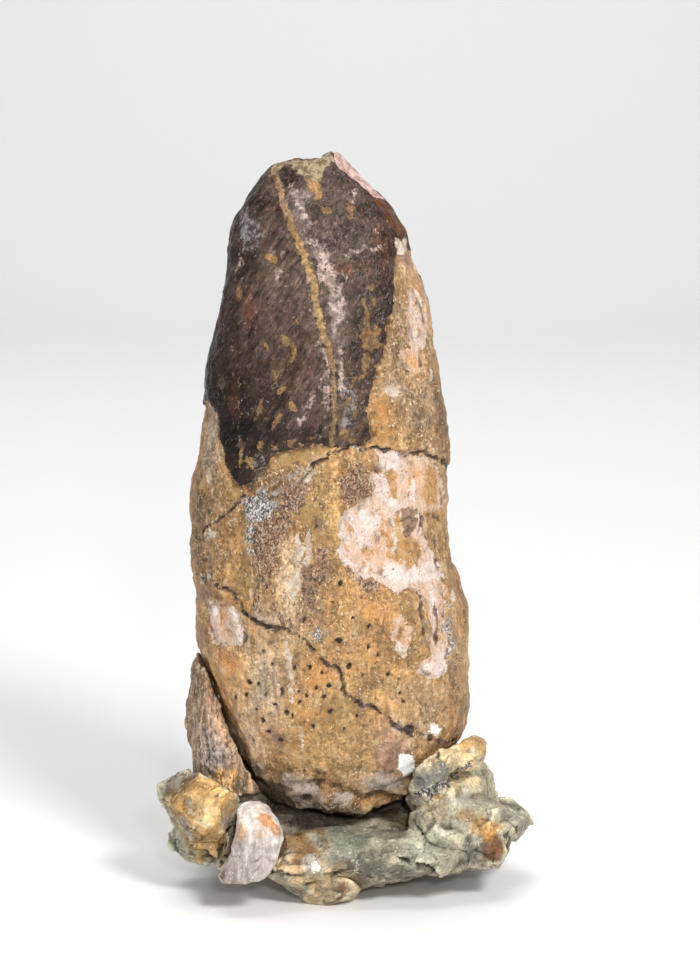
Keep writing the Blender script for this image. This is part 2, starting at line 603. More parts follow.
PITS = [
    Dab(x, y, r, r)
    for x, y, r in (
        (338, 639, 3.2), (349, 666.5, 3.4), (329, 687, 3.0), (375.5, 656, 2.5), (298, 692, 2.2),
        (307, 696, 2.2), (322, 697, 2.2), (317, 688, 2.0), (310, 667, 2.2), (248, 680, 2.6),
        (236, 696, 2.4), (247, 696, 2.0), (266, 695, 2.0), (282, 694, 2.0), (281, 689, 1.9),
        (323, 672, 2.0), (340, 584, 2.0), (399.5, 694, 2.2), (366, 646, 2.2), (305, 620, 2.0),
        (285, 712, 2.2), (276, 706, 2.0), (262, 720, 2.2), (256, 708, 2.0), (292, 716, 1.9),
        (301, 702, 1.9), (268, 733, 2.2), (281, 741, 2.2), (250, 730, 2.0), (240, 715, 2.0),
        (295, 668, 1.9), (272, 665, 2.0), (262, 652, 1.9), (258, 683, 2.0), (330, 712, 2.0),
        (312, 724, 1.9), (345, 730, 2.0), (356, 716, 1.9), (362, 676, 1.9), (387, 676, 2.0),
        (352, 618, 1.9), (370, 628, 1.9), (333, 604, 1.8), (402, 700, 1.8), (254, 742, 1.9),
    )
]


class Stain(NamedTuple):
    """A soft-edged tint: its colour, its middle and half sizes in the view, and its strength."""

    colour: tuple
    x: float
    y: float
    wide: float
    high: float
    strength: float = 0.8
    lean: float = 0.0


def stained(base, stains):
    """One colour for each point of the grid: the base, with every stain soaked in one after another."""
    colour = np.ones(arc.shape + (3,)) * base
    for stain in stains:
        oval = Dab(stain.x, stain.y, stain.wide, stain.high, stain.lean)
        small = min(stain.wide, stain.high) / PIXELS_PER_MM
        front = 1 - depth_in(oval) / small
        behind = 1 - depth_in(oval, back_arc, marked_height + BACK_DROP) / small
        soak = np.exp(-(front**2)) * (1 - backness) + np.exp(-(behind**2)) * backness
        soak = (stain.strength * soak)[..., None]
        colour = colour * (1 - soak) + np.array(stain.colour) * soak
    return colour


GOLD = (0.47, 0.26, 0.098)
BRIGHT_GOLD = (0.60, 0.355, 0.14)
BROWN = (0.19, 0.11, 0.05)
BEIGE = (0.49, 0.42, 0.33)
CREAM = (0.68, 0.50, 0.35)
ORANGE = (0.58, 0.26, 0.075)
GREYED = (0.32, 0.27, 0.235)
ROSY = (0.44, 0.27, 0.18)
SOOT = (0.10, 0.074, 0.056)
SANDY = (0.31, 0.21, 0.125)
OLIVE = (0.36, 0.235, 0.085)
RUSTED = (0.46, 0.19, 0.07)
DEEP_BROWN = (0.17, 0.09, 0.034)
PALE_BEIGE = (0.62, 0.47, 0.30)

DENTINE_STAINS = [Stain(*row) for row in (
    (BEIGE, 212, 434, 13, 46, 0.95), (DEEP_BROWN, 200, 504, 20, 36, 0.97), (ORANGE, 203, 484, 7, 12, 0.6),
    (GOLD, 236, 498, 13, 16), (BROWN, 226, 530, 14, 20, 0.4), (BROWN, 202, 560, 12, 30, 0.6),
    (BEIGE, 209, 548, 5, 24, 0.6), ((0.66, 0.40, 0.155), 332, 506, 24, 36, 0.8),
    (BROWN, 294, 496, 20, 18, 0.9), (BROWN, 262, 560, 16, 54, 0.6), (CREAM, 424, 300, 12, 54, 0.5),
    (SANDY, 402, 310, 9, 24, 0.9), ((0.46, 0.26, 0.20), 406, 258, 15, 13, 0.95),
    (SANDY, 396, 335, 12, 38, 0.95), (BROWN, 396, 330, 8, 24, 0.5), (GREYED, 424, 400, 30, 22, 0.4),
    (SANDY, 424, 416, 30, 26, 0.75), (BRIGHT_GOLD, 402, 438, 26, 8, 0.5), (SANDY, 392, 378, 14, 14, 0.8),
    (BRIGHT_GOLD, 436, 320, 7, 50, 0.5), (DEEP_BROWN, 443, 410, 22, 60, 0.95),
    (ORANGE, 380, 614, 24, 24, 0.4), (BROWN, 412, 620, 12, 40, 0.75), (SANDY, 455, 640, 9, 70, 0.7),
    (ORANGE, 453, 556, 7, 34, 0.6), (BROWN, 312, 585, 10, 34, 0.6), (PALE_BEIGE, 292, 590, 11, 40, 0.75),
    (GOLD, 330, 610, 18, 34, 0.6), ((0.72, 0.41, 0.185), 222, 686, 18, 34, 0.95),
    (ORANGE, 240, 668, 9, 16, 0.4), (PALE_BEIGE, 262, 670, 20, 38, 0.85), (BEIGE, 262, 704, 26, 26, 0.5),
    (ORANGE, 318, 680, 16, 12, 0.5), (OLIVE, 326, 742, 34, 40, 0.8), (OLIVE, 356, 762, 22, 26, 0.6),
    (BROWN, 276, 738, 8, 14, 0.7), ((0.93, 0.66, 0.44), 252, 738, 18, 28, 0.97),
    ((0.55, 0.33, 0.22), 392, 750, 19, 27, 0.97), (RUSTED, 386, 772, 9, 10, 0.7),
    (OLIVE, 368, 766, 10, 10, 0.7), (BROWN, 262, 774, 26, 8, 0.6, 30), (BROWN, 296, 786, 34, 9, 0.7, 25),
    ((0.42, 0.34, 0.28), 382, 784, 24, 12, 0.97), (OLIVE, 356, 799, 8, 7, 0.9),
    (SANDY, 432, 704, 28, 26, 0.8), (BROWN, 462, 690, 8, 50, 0.5), (BROWN, 216, 726, 7, 60, 0.5),
    (GREYED, 240, 746, 7, 26, 0.6), (ROSY, 202, 596, 9, 9, 0.8), (OLIVE, 308, 512, 12, 12, 0.6),
    (OLIVE, 330, 536, 12, 22, 0.5), (SANDY, 356, 486, 15, 22, 0.7), (OLIVE, 340, 700, 30, 16, 0.4),
    (BROWN, 434, 376, 6, 12, 0.5), (BROWN, 372, 566, 20, 7, 0.5, 15), (OLIVE, 240, 570, 14, 18, 0.5),
    (SANDY, 300, 640, 24, 8, 0.5), (BROWN, 436, 548, 8, 16, 0.6), (SANDY, 408, 690, 22, 10, 0.6),
    (BROWN, 354, 470, 10, 8, 0.5), (DEEP_BROWN, 288, 482, 38, 14, 0.95, -20),
    (BROWN, 292, 456, 12, 6, 0.8, -20), ((0.22, 0.10, 0.035), 203, 562, 14, 26, 0.75),
    (GOLD, 330, 746, 30, 30, 0.5), (CREAM, 408, 272, 10, 10, 0.4), (ORANGE, 413, 360, 9, 8, 0.6),
    (BROWN, 404, 372, 8, 6, 0.5), (BRIGHT_GOLD, 434, 340, 6, 30, 0.5), (BEIGE, 398, 392, 10, 6, 0.5),
    (ORANGE, 404, 292, 6, 12, 0.4), (BROWN, 412, 432, 14, 6, 0.4), (DEEP_BROWN, 424, 404, 8, 12, 0.3),
    (GOLD, 402, 414, 10, 10, 0.4), (BROWN, 246, 530, 6, 14, 0.5), (CREAM, 284, 566, 8, 30, 0.5),
    (GREYED, 268, 618, 20, 8, 0.5), (OLIVE, 250, 584, 8, 14, 0.5),
    ((0.30, 0.15, 0.05), 350, 606, 16, 14, 0.3), (BROWN, 398, 352, 9, 30, 0.5),
    (CREAM, 394, 391, 8, 6, 0.8), (BROWN, 320, 540, 7, 30, 0.35), (BROWN, 262, 640, 16, 10, 0.3),
    (BROWN, 330, 576, 10, 16, 0.3), (SANDY, 290, 664, 12, 12, 0.4),
)]

PINKISH = (0.76, 0.55, 0.42)
LILAC_WHITE = (0.82, 0.67, 0.58)
SALMON = (0.74, 0.42, 0.22)

SCAR_STAINS = [Stain(*row) for row in (
    (LILAC_WHITE, 386, 462, 14, 12, 0.9), (SALMON, 416, 480, 12, 28, 0.55),
    (SALMON, 434, 492, 6, 26, 0.9), (LILAC_WHITE, 402, 505, 11, 6, 0.9),
    (LILAC_WHITE, 344, 540, 6, 26, 0.8), (LILAC_WHITE, 362, 526, 12, 14, 0.7),
    (SALMON, 374, 552, 16, 14, 0.6), (PINKISH, 430, 524, 9, 16, 0.9),
    (LILAC_WHITE, 400, 576, 44, 8, 0.95), (SALMON, 440, 560, 5, 12, 0.6), (SALMON, 432, 588, 10, 10, 0.5),
    (LILAC_WHITE, 436, 608, 8, 20, 0.7), (SALMON, 445, 615, 3, 24, 0.7),
    (LILAC_WHITE, 440, 668, 12, 10, 0.9), (SALMON, 224, 626, 6, 16, 0.6),
    (LILAC_WHITE, 210, 614, 7, 14, 0.8), (LILAC_WHITE, 417, 316, 8, 24, 0.8),
    ((0.34, 0.18, 0.15), 418, 335, 6, 5, 0.95), ((0.78, 0.38, 0.09), 415, 360, 9, 9, 0.95),
    ((0.97, 0.82, 0.70), 238, 630, 12, 16, 0.85), (SALMON, 404, 636, 8, 16, 0.8),
    (LILAC_WHITE, 397, 645, 4, 8, 0.6),
)]

UMBER = (0.105, 0.066, 0.050)
BLACKISH = (0.010, 0.006, 0.005)
RUSSET = (0.15, 0.058, 0.028)
SMOKY = (0.105, 0.072, 0.056)

ENAMEL_STAINS = [Stain(*row) for row in (
    ((0.14, 0.092, 0.072), 288, 290, 40, 70, 0.85), (SMOKY, 350, 230, 36, 44, 0.5),
    (UMBER, 350, 310, 24, 34, 0.2), (BLACKISH, 206, 340, 38, 120, 0.98),
    (BLACKISH, 236, 424, 34, 64, 0.97), (BLACKISH, 242, 262, 18, 16, 0.85),
    (BLACKISH, 255, 190, 14, 18, 0.8), (RUSSET, 252, 312, 9, 16, 0.5), (RUSSET, 300, 372, 20, 26, 0.25),
    (BLACKISH, 280, 420, 18, 30, 0.4), ((0.155, 0.10, 0.062), 354, 412, 16, 34, 0.6),
    (RUSSET, 382, 245, 14, 18, 0.5), (SMOKY, 345, 190, 20, 14, 0.3), (BLACKISH, 388, 300, 8, 34, 0.5),
    (RUSSET, 235, 395, 8, 14, 0.35), (BLACKISH, 345, 172, 18, 4, 0.6, 48),
    ((0.21, 0.165, 0.16), 306, 398, 13, 26, 0.15, 20), ((0.20, 0.15, 0.135), 300, 204, 9, 24, 0.8, 25),
    ((0.17, 0.125, 0.11), 336, 320, 9, 40, 0.6), (RUSSET, 345, 268, 18, 5, 0.7),
    (BLACKISH, 287, 177, 7, 9, 0.8),
)]

RUGGED_PLACES = [Stain(*row) for row in (
    (1, 290, 500, 46, 40, 0.95), (1, 290, 570, 44, 50, 0.9), (1, 356, 490, 20, 26, 0.9),
    (0.9, 404, 392, 30, 60, 0.7), (1, 396, 338, 14, 46, 0.9), (0.8, 300, 640, 60, 30, 0.4),
    (0.9, 436, 560, 16, 60, 0.7), (0.8, 300, 800, 60, 16, 0.9), (0.6, 208, 560, 16, 60, 0.7),
    (0.5, 390, 770, 24, 20, 0.7), (0.0, 330, 730, 70, 50, 0.7),
)]

CRUST_STAINS = [Stain(*row) for row in (
    ((0.33, 0.215, 0.135), 283, 200, 9, 24, 0.95), ((0.37, 0.235, 0.125), 304, 262, 14, 34, 0.95),
    ((0.36, 0.24, 0.115), 320, 320, 9, 32, 0.95), ((0.26, 0.18, 0.10), 333, 386, 8, 24, 0.95),
    ((0.19, 0.13, 0.075), 332, 438, 10, 22, 0.95), ((0.36, 0.21, 0.095), 312, 190, 12, 12, 0.95),
    ((0.30, 0.185, 0.09), 292, 408, 12, 10, 0.9), ((0.36, 0.21, 0.08), 271, 259, 10, 8, 0.9),
    ((0.24, 0.16, 0.06), 290, 352, 14, 14, 0.7), ((0.30, 0.19, 0.085), 264, 462, 26, 10, 0.8),
)]

# ---------------------------------------------------------------------------------------------------
# Tooth, its skin. Enamel stands proud of the dentine and is wrinkled aslant; the dentine is sandy and
# fibrous, with pores, flaked places that show its fibres, and a rim of thin flakes at the root's end.

WRINKLE_WAY = np.array((0.52, 0.0, 0.854))
UPWARD = np.array((0.0, 0.0, 1.0))
TIP_PEAK = (334, 157)  # where the broken tip runs up to a point
PEAK_RISE, PEAK_REACH = 0.8, 1.6
ENAMEL_STEP, SCAR_STEP, FLAKE_STEP = 0.26, 0.28, 0.34  # enamel stands proud, flaked places lie back
VEIN_STEP, CRUST_STEP, PALE_STEP = 0.09, 0.07, 0.06
CRACK_DEPTH, PIT_DEPTH, BREAK_DEPTH, CHIP_DEPTH = 0.7, 0.5, 0.25, 0.12
FOOT_LINE, FOOT_RISE, FOOT_FALL = 13.8, 0.28, 0.50  # under it the root is dark with dirt; its two slopes
SOOTINESS = 0.92
DENTINE_BASE, CRUST_BASE, ENAMEL_BASE = GOLD, (0.19, 0.115, 0.055), (0.058, 0.034, 0.026)
RUGGED_BASE = 0.25


def stretched(points, way, times):
    """Points squeezed along a direction, so that noise read there is drawn out along it."""
    along = (points * way).sum(-1, keepdims=True)
    return points - (1 - 1 / times) * along * way


def creased(points, size, octaves, seed):
    """Sharp-crested ridges: 1 on a crest, about 0 between."""
    return 1 - np.clip(np.abs(rough(points, size, octaves, seed)) * 1.6, 0, 1)


vein = np.max([depth_in(part, arc, height) for part in FILLED_CRACK], axis=0)
depths = {
    "enamel": depth_in(ENAMEL),
    "tan_crust": np.maximum(vein, depth_of(TAN_CRUST)),
    "pale": depth_of(PALE_MARKS),
    "slaty": depth_of(SLATY_MARKS),
    "haze": depth_of(HAZE_MARKS),
    "calcite": depth_of(CALCITE, on_back=False),
    "glitter": depth_of(GLITTER),
    "scar": depth_of(FLAKE_SCARS),
    "scar_amber": depth_of(SCAR_AMBERS),
    "scar_white": depth_of(SCAR_WHITES),
    "ochre": depth_of(OCHRE_ISLANDS),
    "orange": depth_of(ORANGE_STAINS),
    "dark": depth_of(DARK_CHIPS),
    "mauve": depth_of(MAUVE_STAINS),
    "crystal": depth_of(CRYSTAL_BANDS),
    "pink_break": depth_in(PINK_BREAK),
    "amber": depth_in(AMBER_RIM),
    "tip": depth_in(TIP_BREAK),
    "crack": depth_of(UPPER_BREAK + LOWER_BREAK, on_back=False),
    "pit": depth_of(PITS),
}
broken_off = step(-0.1, 0.1, np.maximum(depths["pink_break"], depths["tip"]))
enamelled = step(-0.1, 0.22, depths["enamel"]) * (1 - broken_off)
scarred = step(-0.1, 0.3, depths["scar"]) * (1 - enamelled)
cracked = step(-0.12, 0.28, depths["crack"] + 0.3 * rough(plain, 1.5, 2, 5))
pitted = step(-0.12, 0.25, depths["pit"])
near_foot = 1 - step(13.5, 21.0, height + 1.2 * rough(plain, 5, 2, 4))

foot_line = FOOT_LINE + FOOT_RISE * np.clip(-arc, 0, 14) - FOOT_FALL * np.clip(arc, 0, 9)
sooty = SOOTINESS * (1 - step(-1.0, 0.8, height - foot_line + 0.9 * rough(plain, 2.4, 3, 6)))[..., None]
dentine_stain = stained(DENTINE_BASE, DENTINE_STAINS) * (1 - sooty) + np.array(SOOT) * sooty

upright = stretched(plain, UPWARD, 6.0)
dentine_relief = (
    0.26 * rough(plain, 5.5, 2, 11)
    + 0.08 * rough(upright, 1.8, 2, 12)
    + 0.20 * rough(plain, 1.5, 3, 13)
    + 0.14 * np.minimum(rough(upright, 2.8, 1, 14) + 0.25, 0)
)
slant = stretched(plain + 0.7 * stray[..., :1], WRINKLE_WAY, 2.2)
enamel_relief = 0.13 * creased(slant, 1.9, 2, 21) + 0.07 * rough(slant, 1.1, 2, 22)
enamel_relief += 0.20 * rough(plain, 4.5, 2, 23)
scar_relief = 0.07 * rough(upright, 1.2, 2, 31) + 0.24 * rough(plain, 2.4, 3, 32)
scar_relief += 0.16 * step(-0.1, 0.35, depths["scar_white"]) - 0.10 * step(-0.1, 0.3, depths["scar_amber"])
flakes = rough(stretched(plain, UPWARD, 0.45), 5.0, 2, 41) * 3
flake_relief = FLAKE_STEP * (np.floor(flakes) + step(0.6, 1.0, flakes - np.floor(flakes)))

relief = (1 - enamelled) * ((1 - scarred) * dentine_relief + scarred * (scar_relief - SCAR_STEP))
relief += enamelled * (enamel_relief + ENAMEL_STEP) + near_foot * flake_relief
relief += CRUST_STEP * step(-0.05, 0.12, depths["tan_crust"]) + PALE_STEP * step(-0.05, 0.3, depths["pale"])
relief += VEIN_STEP * step(-0.1, 0.4, vein) - CHIP_DEPTH * step(-0.1, 0.2, depths["dark"])
relief -= BREAK_DEPTH * step(-0.05, 0.3, depths["pink_break"]) + CRACK_DEPTH * cracked + PIT_DEPTH * pitted
hollow = blurred(relief, 2.6, 2.0) - relief

to_peak = np.where(shown, (view_x - TIP_PEAK[0]) ** 2 + (view_y - TIP_PEAK[1]) ** 2, 1e9)
peak = plain.reshape(-1, 3)[np.argmin(to_peak)]
near_peak = np.exp(-((np.linalg.norm(plain - peak, axis=-1) / PEAK_REACH) ** 2))
skin = plain + facing * (relief * (1 - 0.8 * near_peak))[..., None]
skin[..., 2] += PEAK_RISE * near_peak


def skin_mesh(name, points):
    """The grid as one closed mesh in metres, with a point at each end to close it."""
    rows, columns = points.shape[:2]
    corner = np.arange(rows * columns).reshape(rows, columns)
    after = np.roll(corner, -1, axis=1)
    sides = np.stack([corner[:-1], after[:-1], after[1:], corner[1:]], axis=-1).reshape(-1, 4)
    foot, head = rows * columns, rows * columns + 1
    caps = [(foot, b, a) for a, b in zip(corner[0], after[0])]
    caps += [(head, a, b) for a, b in zip(corner[-1], after[-1])]
    ends = [points[0].mean(axis=0), points[-1].mean(axis=0)]
    mesh = bpy.data.meshes.new(name)
    mesh.from_pydata(
        np.concatenate([points.reshape(-1, 3), ends]) * MM, [], [*map(tuple, sides.tolist()), *caps]
    )
    mesh.shade_smooth()
    return mesh


def with_ends(field):
    """A grid's field as one value for each point of its mesh, the two end points included."""
    return np.concatenate([field.reshape(-1, *field.shape[2:]), field[:1].mean(1), field[-1:].mean(1)])


def give(mesh, **fields):
    """Stores a number or a colour for each point of a mesh, by name, for its material to read."""
    for name, values in fields.items():
        if values.ndim == 1:
            numbers = values.astype(np.float32)
            mesh.attributes.new(name, "FLOAT", "POINT").data.foreach_set("value", numbers)
        else:
            colours = np.concatenate([values, np.ones((len(values), 1))], axis=1).astype(np.float32)
            mesh.attributes.new(name, "FLOAT_COLOR", "POINT").data.foreach_set("color", colours.ravel())


soaked_in = {
    "hollow": hollow,
    "dentine_stain": dentine_stain,
    "crust_stain": stained(CRUST_BASE, CRUST_STAINS),
    "rugged": stained(RUGGED_BASE, RUGGED_PLACES)[..., 0],
    "scar_stain": stained(PINKISH, SCAR_STAINS),
    "enamel_stain": stained(ENAMEL_BASE, ENAMEL_STAINS),
}
tooth_mesh = skin_mesh("fossil_tooth", skin)
give(tooth_mesh, **{name: with_ends(field) for name, field in {**depths, **soaked_in}.items()})
fossil_tooth = placed("fossil_tooth", tooth_mesh)

# ---------------------------------------------------------------------------------------------------
# Tooth, its finish. Sandy golden-brown dentine with flecks, pores and soaked-in stains, dark polished
# enamel with sediment in its wrinkles, and every mark laid over them with a ragged edge.

SEED_SHIFT = (31.7, 17.3, 23.9)  # how far apart two seeds' noises are read, in millimetres


class Wiring:
    """A node tree being wired up. An input takes a value, a colour or another node's output."""

    def __init__(self, tree):
        self.tree = tree

    def add(self, kind, inputs=None, **settings):
        node = self.tree.nodes.new("ShaderNode" + kind)
        for name, value in settings.items():
            setattr(node, name, value)
        for key, value in (inputs or {}).items():
            self.feed(node.inputs[key], value)
        return node

    def feed(self, socket, value):
        if isinstance(value, bpy.types.NodeSocket):
            self.tree.links.new(value, socket)
        elif socket.type == "RGBA":
            socket.default_value = (*value[:3], 1)
        else:
            socket.default_value = value

    def number(self, name):
        return self.add("Attribute", attribute_name=name).outputs["Fac"]

    def colour(self, name):
        return self.add("Attribute", attribute_name=name).outputs["Color"]

    def math(self, operation, *values):
        """One sum over its values, two at a time."""
        total = values[0]
        for value in values[1:]:
            total = self.add("Math", {0: total, 1: value}, operation=operation).outputs[0]
        return total

    def times(self, *values):
        return self.math("MULTIPLY", *values)

    def plus(self, *values):
        return self.math("ADD", *values)

    def vector(self, operation, inputs):
        return self.add("VectorMath", inputs, operation=operation).outputs[0]

    def mix(self, amount, under, over, blend="MIX"):
        inputs = {0: amount, 6: under, 7: over}
        return self.add("Mix", inputs, data_type="RGBA", blend_type=blend, clamp_result=True).outputs[2]

    def tint(self, amount, colour, over):
        return self.mix(amount, colour, over, "MULTIPLY")

    def blend(self, amount, under, over):
        return self.add("Mix", {0: amount, 2: under, 3: over}, data_type="FLOAT").outputs[0]

    def shaded(self, colour, amount):
        """A colour made darker or lighter: 1 leaves it."""
        grey = self.add("CombineColor", {0: amount, 1: amount, 2: amount}).outputs[0]
        return self.tint(1.0, colour, grey)

    def between(self, value, low, high, at_low=0.0, at_high=1.0):
        """at_low where the value is under low, at_high where it is over high, and easy between."""
        inputs = {"Value": value, "From Min": low, "From Max": high, "To Min": at_low, "To Max": at_high}
        return self.add("MapRange", inputs, interpolation_type="SMOOTHSTEP").outputs[0]

    def toned(self, colour, *course):
        """A colour made darker or lighter as a value goes from low to high."""
        return self.shaded(colour, self.between(*course))

    def specked(self, colour, over, value, low, high, most=1.0):
        """A colour with another over it, up to a share, where a value is past high."""
        return self.mix(self.between(value, low, high, 0.0, most), colour, over)

    def filmed(self, colour, over, *amounts, blend="MULTIPLY", **shape):
        """A colour with another over it in torn blotches."""
        film = self.group(blotches, **shape)["Mask"]
        return self.mix(self.times(film, *amounts), colour, over, blend)

    def spot(self, squeeze=(1, 1, 1), lean=0.0, seed=0.0):
        """The place on the piece in millimetres, leant over, and squeezed to draw out what is read."""
        place = self.add("TexCoord").outputs["Object"]
        if lean:
            inputs = {"Vector": place, "Angle": math.radians(lean)}
            place = self.add("VectorRotate", inputs, rotation_type="Y_AXIS").outputs[0]
        scale = tuple(share / MM for share in squeeze)
        return self.vector("MULTIPLY_ADD", {0: place, 1: scale, 2: tuple(s * seed for s in SEED_SHIFT)})

    def noise(self, size, detail=2.0, squeeze=(1, 1, 1), roughness=0.55, seed=0.0, twist=0.0, lean=0.0):
        """Noise from 0 to 1, with lumps of a size in millimetres."""
        scale = self.math("DIVIDE", 1.0, size) if isinstance(size, bpy.types.NodeSocket) else 1.0 / size
        inputs = {"Vector": self.spot(squeeze, lean, seed), "Scale": scale, "Detail": detail}
        inputs.update({"Roughness": roughness, "Distortion": twist})
        return self.add("TexNoise", inputs).outputs["Fac"]

    def warped(self, size, reach):
        """The place on the piece, in millimetres, pushed about so that cells read there come out uneven."""
        inputs = {"Vector": self.spot(), "Scale": self.math("DIVIDE", 1.0, size), "Detail": 2.0}
        push = self.add("TexNoise", inputs).outputs["Color"]
        push = self.vector("SUBTRACT", {0: push, 1: (0.5, 0.5, 0.5)})
        return self.vector("ADD", {0: self.spot(), 1: self.vector("SCALE", {0: push, "Scale": reach})})

    def group(self, tree, **inputs):
        node = self.add("Group", node_tree=tree)
        for name, value in inputs.items():
            self.feed(node.inputs[name], value)
        return node.outputs


def new_group(name, inputs, outputs):
    """An empty node group with numbers in and out by name: the tree, its wiring, inputs and outputs."""
    tree = bpy.data.node_groups.new(name, "ShaderNodeTree")
    for title, value in inputs.items():
        socket = tree.interface.new_socket(title, in_out="INPUT", socket_type="NodeSocketFloat")
        socket.default_value = value
    for title in outputs:
        tree.interface.new_socket(title, in_out="OUTPUT", socket_type="NodeSocketFloat")
    coming = tree.nodes.new("NodeGroupInput").outputs
    leaving = tree.nodes.new("NodeGroupOutput").inputs
    return tree, Wiring(tree), coming, leaving


# Turns a depth inside a mark into a mask whose edge noise has eaten away, with gaps left inside.
ragged_edge, wires, coming, leaving = new_group(
    "ragged_edge",
    {"Depth": 0.0, "Bite": 0.5, "Gap": 0.5, "Wander": 0.5, "Soft": 0.06, "Gaps": 0.0},
    ["Mask"],
)
bite = wires.times(wires.math("SUBTRACT", coming["Bite"], 0.5), coming["Wander"], 3.0)
inside = wires.between(wires.plus(coming["Depth"], bite), wires.times(coming["Soft"], -1.0), coming["Soft"])
gap_ends = wires.blend(coming["Gaps"], 0.2, 0.62)
kept = wires.between(coming["Gap"], gap_ends, wires.plus(gap_ends, 0.07))
wires.feed(leaving["Mask"], wires.times(inside, kept))

# Blotches with a crisp torn edge that cover a share of a surface, drawn out upright if asked.
blotches, wires, coming, leaving = new_group(
    "blotches", {"Size": 3.0, "Share": 0.3, "Crisp": 0.02, "Upright": 1.0, "Seed": 0.0}, ["Mask"]
)
shift = wires.times(coming["Seed"], SEED_SHIFT[0])
shift = wires.add("CombineXYZ", {0: shift, 1: shift, 2: shift}).outputs[0]
upright = wires.math("DIVIDE", 1.0, coming["Upright"])
squeeze = wires.add("CombineXYZ", {0: 1.0, 1: 1.0, 2: upright}).outputs[0]
tatter = wires.noise(coming["Size"], 4.0, roughness=0.68, twist=0.4)
place = wires.vector("MULTIPLY_ADD", {0: wires.spot(), 1: squeeze, 2: shift})
wires.feed(tatter.node.inputs["Vector"], place)
limit = wires.blend(coming["Share"], 0.68, 0.34)
wires.feed(leaving["Mask"], wires.between(tatter, limit, wires.plus(limit, coming["Crisp"])))

# Grains stuck in a surface, uneven in size and place: which are pale, which are dark, and their height.
sand, wires, coming, leaving = new_group(
    "sand", {"Size": 0.4, "PaleShare": 0.3, "DarkShare": 0.3}, ["Pale", "Dark", "Height"]
)
patches = wires.noise(2.6, 3.0, roughness=0.65)
place = wires.warped(coming["Size"], wires.times(coming["Size"], 1.6))
cell = wires.add("TexVoronoi", {"Vector": place, "Scale": wires.math("DIVIDE", 1.0, coming["Size"])})
split = wires.add("SeparateColor", {0: cell.outputs["Color"]}).outputs
wide = wires.between(split[2], 0.0, 1.0, 0.16, 0.42)
near = wires.between(cell.outputs["Distance"], wires.times(wide, 0.7), wide, 1.0, 0.0)
pale_limit = wires.times(coming["PaleShare"], wires.between(patches, 0.40, 0.60, 0.1, 1.9))
dark_limit = wires.times(coming["DarkShare"], wires.between(patches, 0.40, 0.60, 1.9, 0.1))
pale_grain = wires.times(near, wires.math("LESS_THAN", split[0], pale_limit))
dark_grain = wires.times(near, wires.math("LESS_THAN", split[1], dark_limit))
wires.feed(leaving["Pale"], pale_grain)
wires.feed(leaving["Dark"], dark_grain)
wires.feed(leaving["Height"], wires.math("SUBTRACT", pale_grain, dark_grain))

# Fine cracks that wander over a surface and come and go.
hairlines, wires, coming, leaving = new_group(
    "hairlines", {"Size": 5.0, "Width": 0.05, "Share": 0.5}, ["Mask"]
)
place = wires.warped(wires.times(coming["Size"], 0.35), wires.times(coming["Size"], 0.45))
cell = {"Vector": place, "Scale": wires.math("DIVIDE", 1.0, coming["Size"])}
edge = wires.add("TexVoronoi", cell, feature="DISTANCE_TO_EDGE").outputs["Distance"]
width = wires.math("DIVIDE", coming["Width"], coming["Size"])
limit = wires.blend(coming["Share"], 0.7, 0.3)
shows = wires.between(wires.noise(3.3, 3.0, seed=21.0), limit, wires.plus(limit, 0.06))
crack = wires.between(edge, wires.times(width, 0.3), width, 1.0, 0.0)
wires.feed(leaving["Mask"], wires.times(crack, shows))

# Fibres that run up and down: their height, from 0 to 1.
streaks, wires, coming, leaving = new_group("streaks", {"Width": 0.5, "Twist": 0.4}, ["Height"])
thread = wires.noise(coming["Width"], 3.0, squeeze=(1, 1, 0.13), roughness=0.62)
wires.feed(thread.node.inputs["Distortion"], coming["Twist"])
wires.feed(leaving["Height"], thread)

# Dirt lying where a surface is hollow, broken up so that it never lies evenly.
settled, wires, coming, leaving = new_group(
    "settled", {"Hollow": 0.0, "From": 0.02, "To": 0.12, "Patchy": 0.5}, ["Mask"]
)
broken = wires.between(wires.noise(2.6, 3.0, roughness=0.7, seed=3.0), 0.40, 0.60)
kept = wires.plus(wires.math("SUBTRACT", 1.0, coming["Patchy"]), wires.times(broken, coming["Patchy"]))
lying = wires.between(coming["Hollow"], coming["From"], coming["To"])
wires.feed(leaving["Mask"], wires.times(lying, kept))


def new_finish(name):
    """A material with one Principled shader, which is set dull as stone is."""
    finish = bpy.data.materials.new(name)
    finish.use_nodes = True
    shader = finish.node_tree.nodes["Principled BSDF"]
    shader.inputs["Specular IOR Level"].default_value = 0.4
    return finish, Wiring(finish.node_tree), shader


def surfaced(wires, shader, colour, roughness, height):
    """Hands a shader its colour, its roughness and the height of its finest relief in millimetres."""
    bump = wires.add("Bump", {"Height": height, "Distance": MM, "Strength": 1.0})
    wires.feed(shader.inputs["Base Color"], colour)
    wires.feed(shader.inputs["Roughness"], roughness)
    wires.feed(shader.inputs["Normal"], bump.outputs["Normal"])


class Coat(NamedTuple):
    """One kind of mark laid over what is under it: two colours, how strong, its edge and its gaps."""

    mark: str
    colour: tuple = (0, 0, 0)
    mottle: tuple = (0, 0, 0)
    strength: float = 0.9
    wander: float = 0.6
    soft: float = 0.06
    gaps: float = 0.2


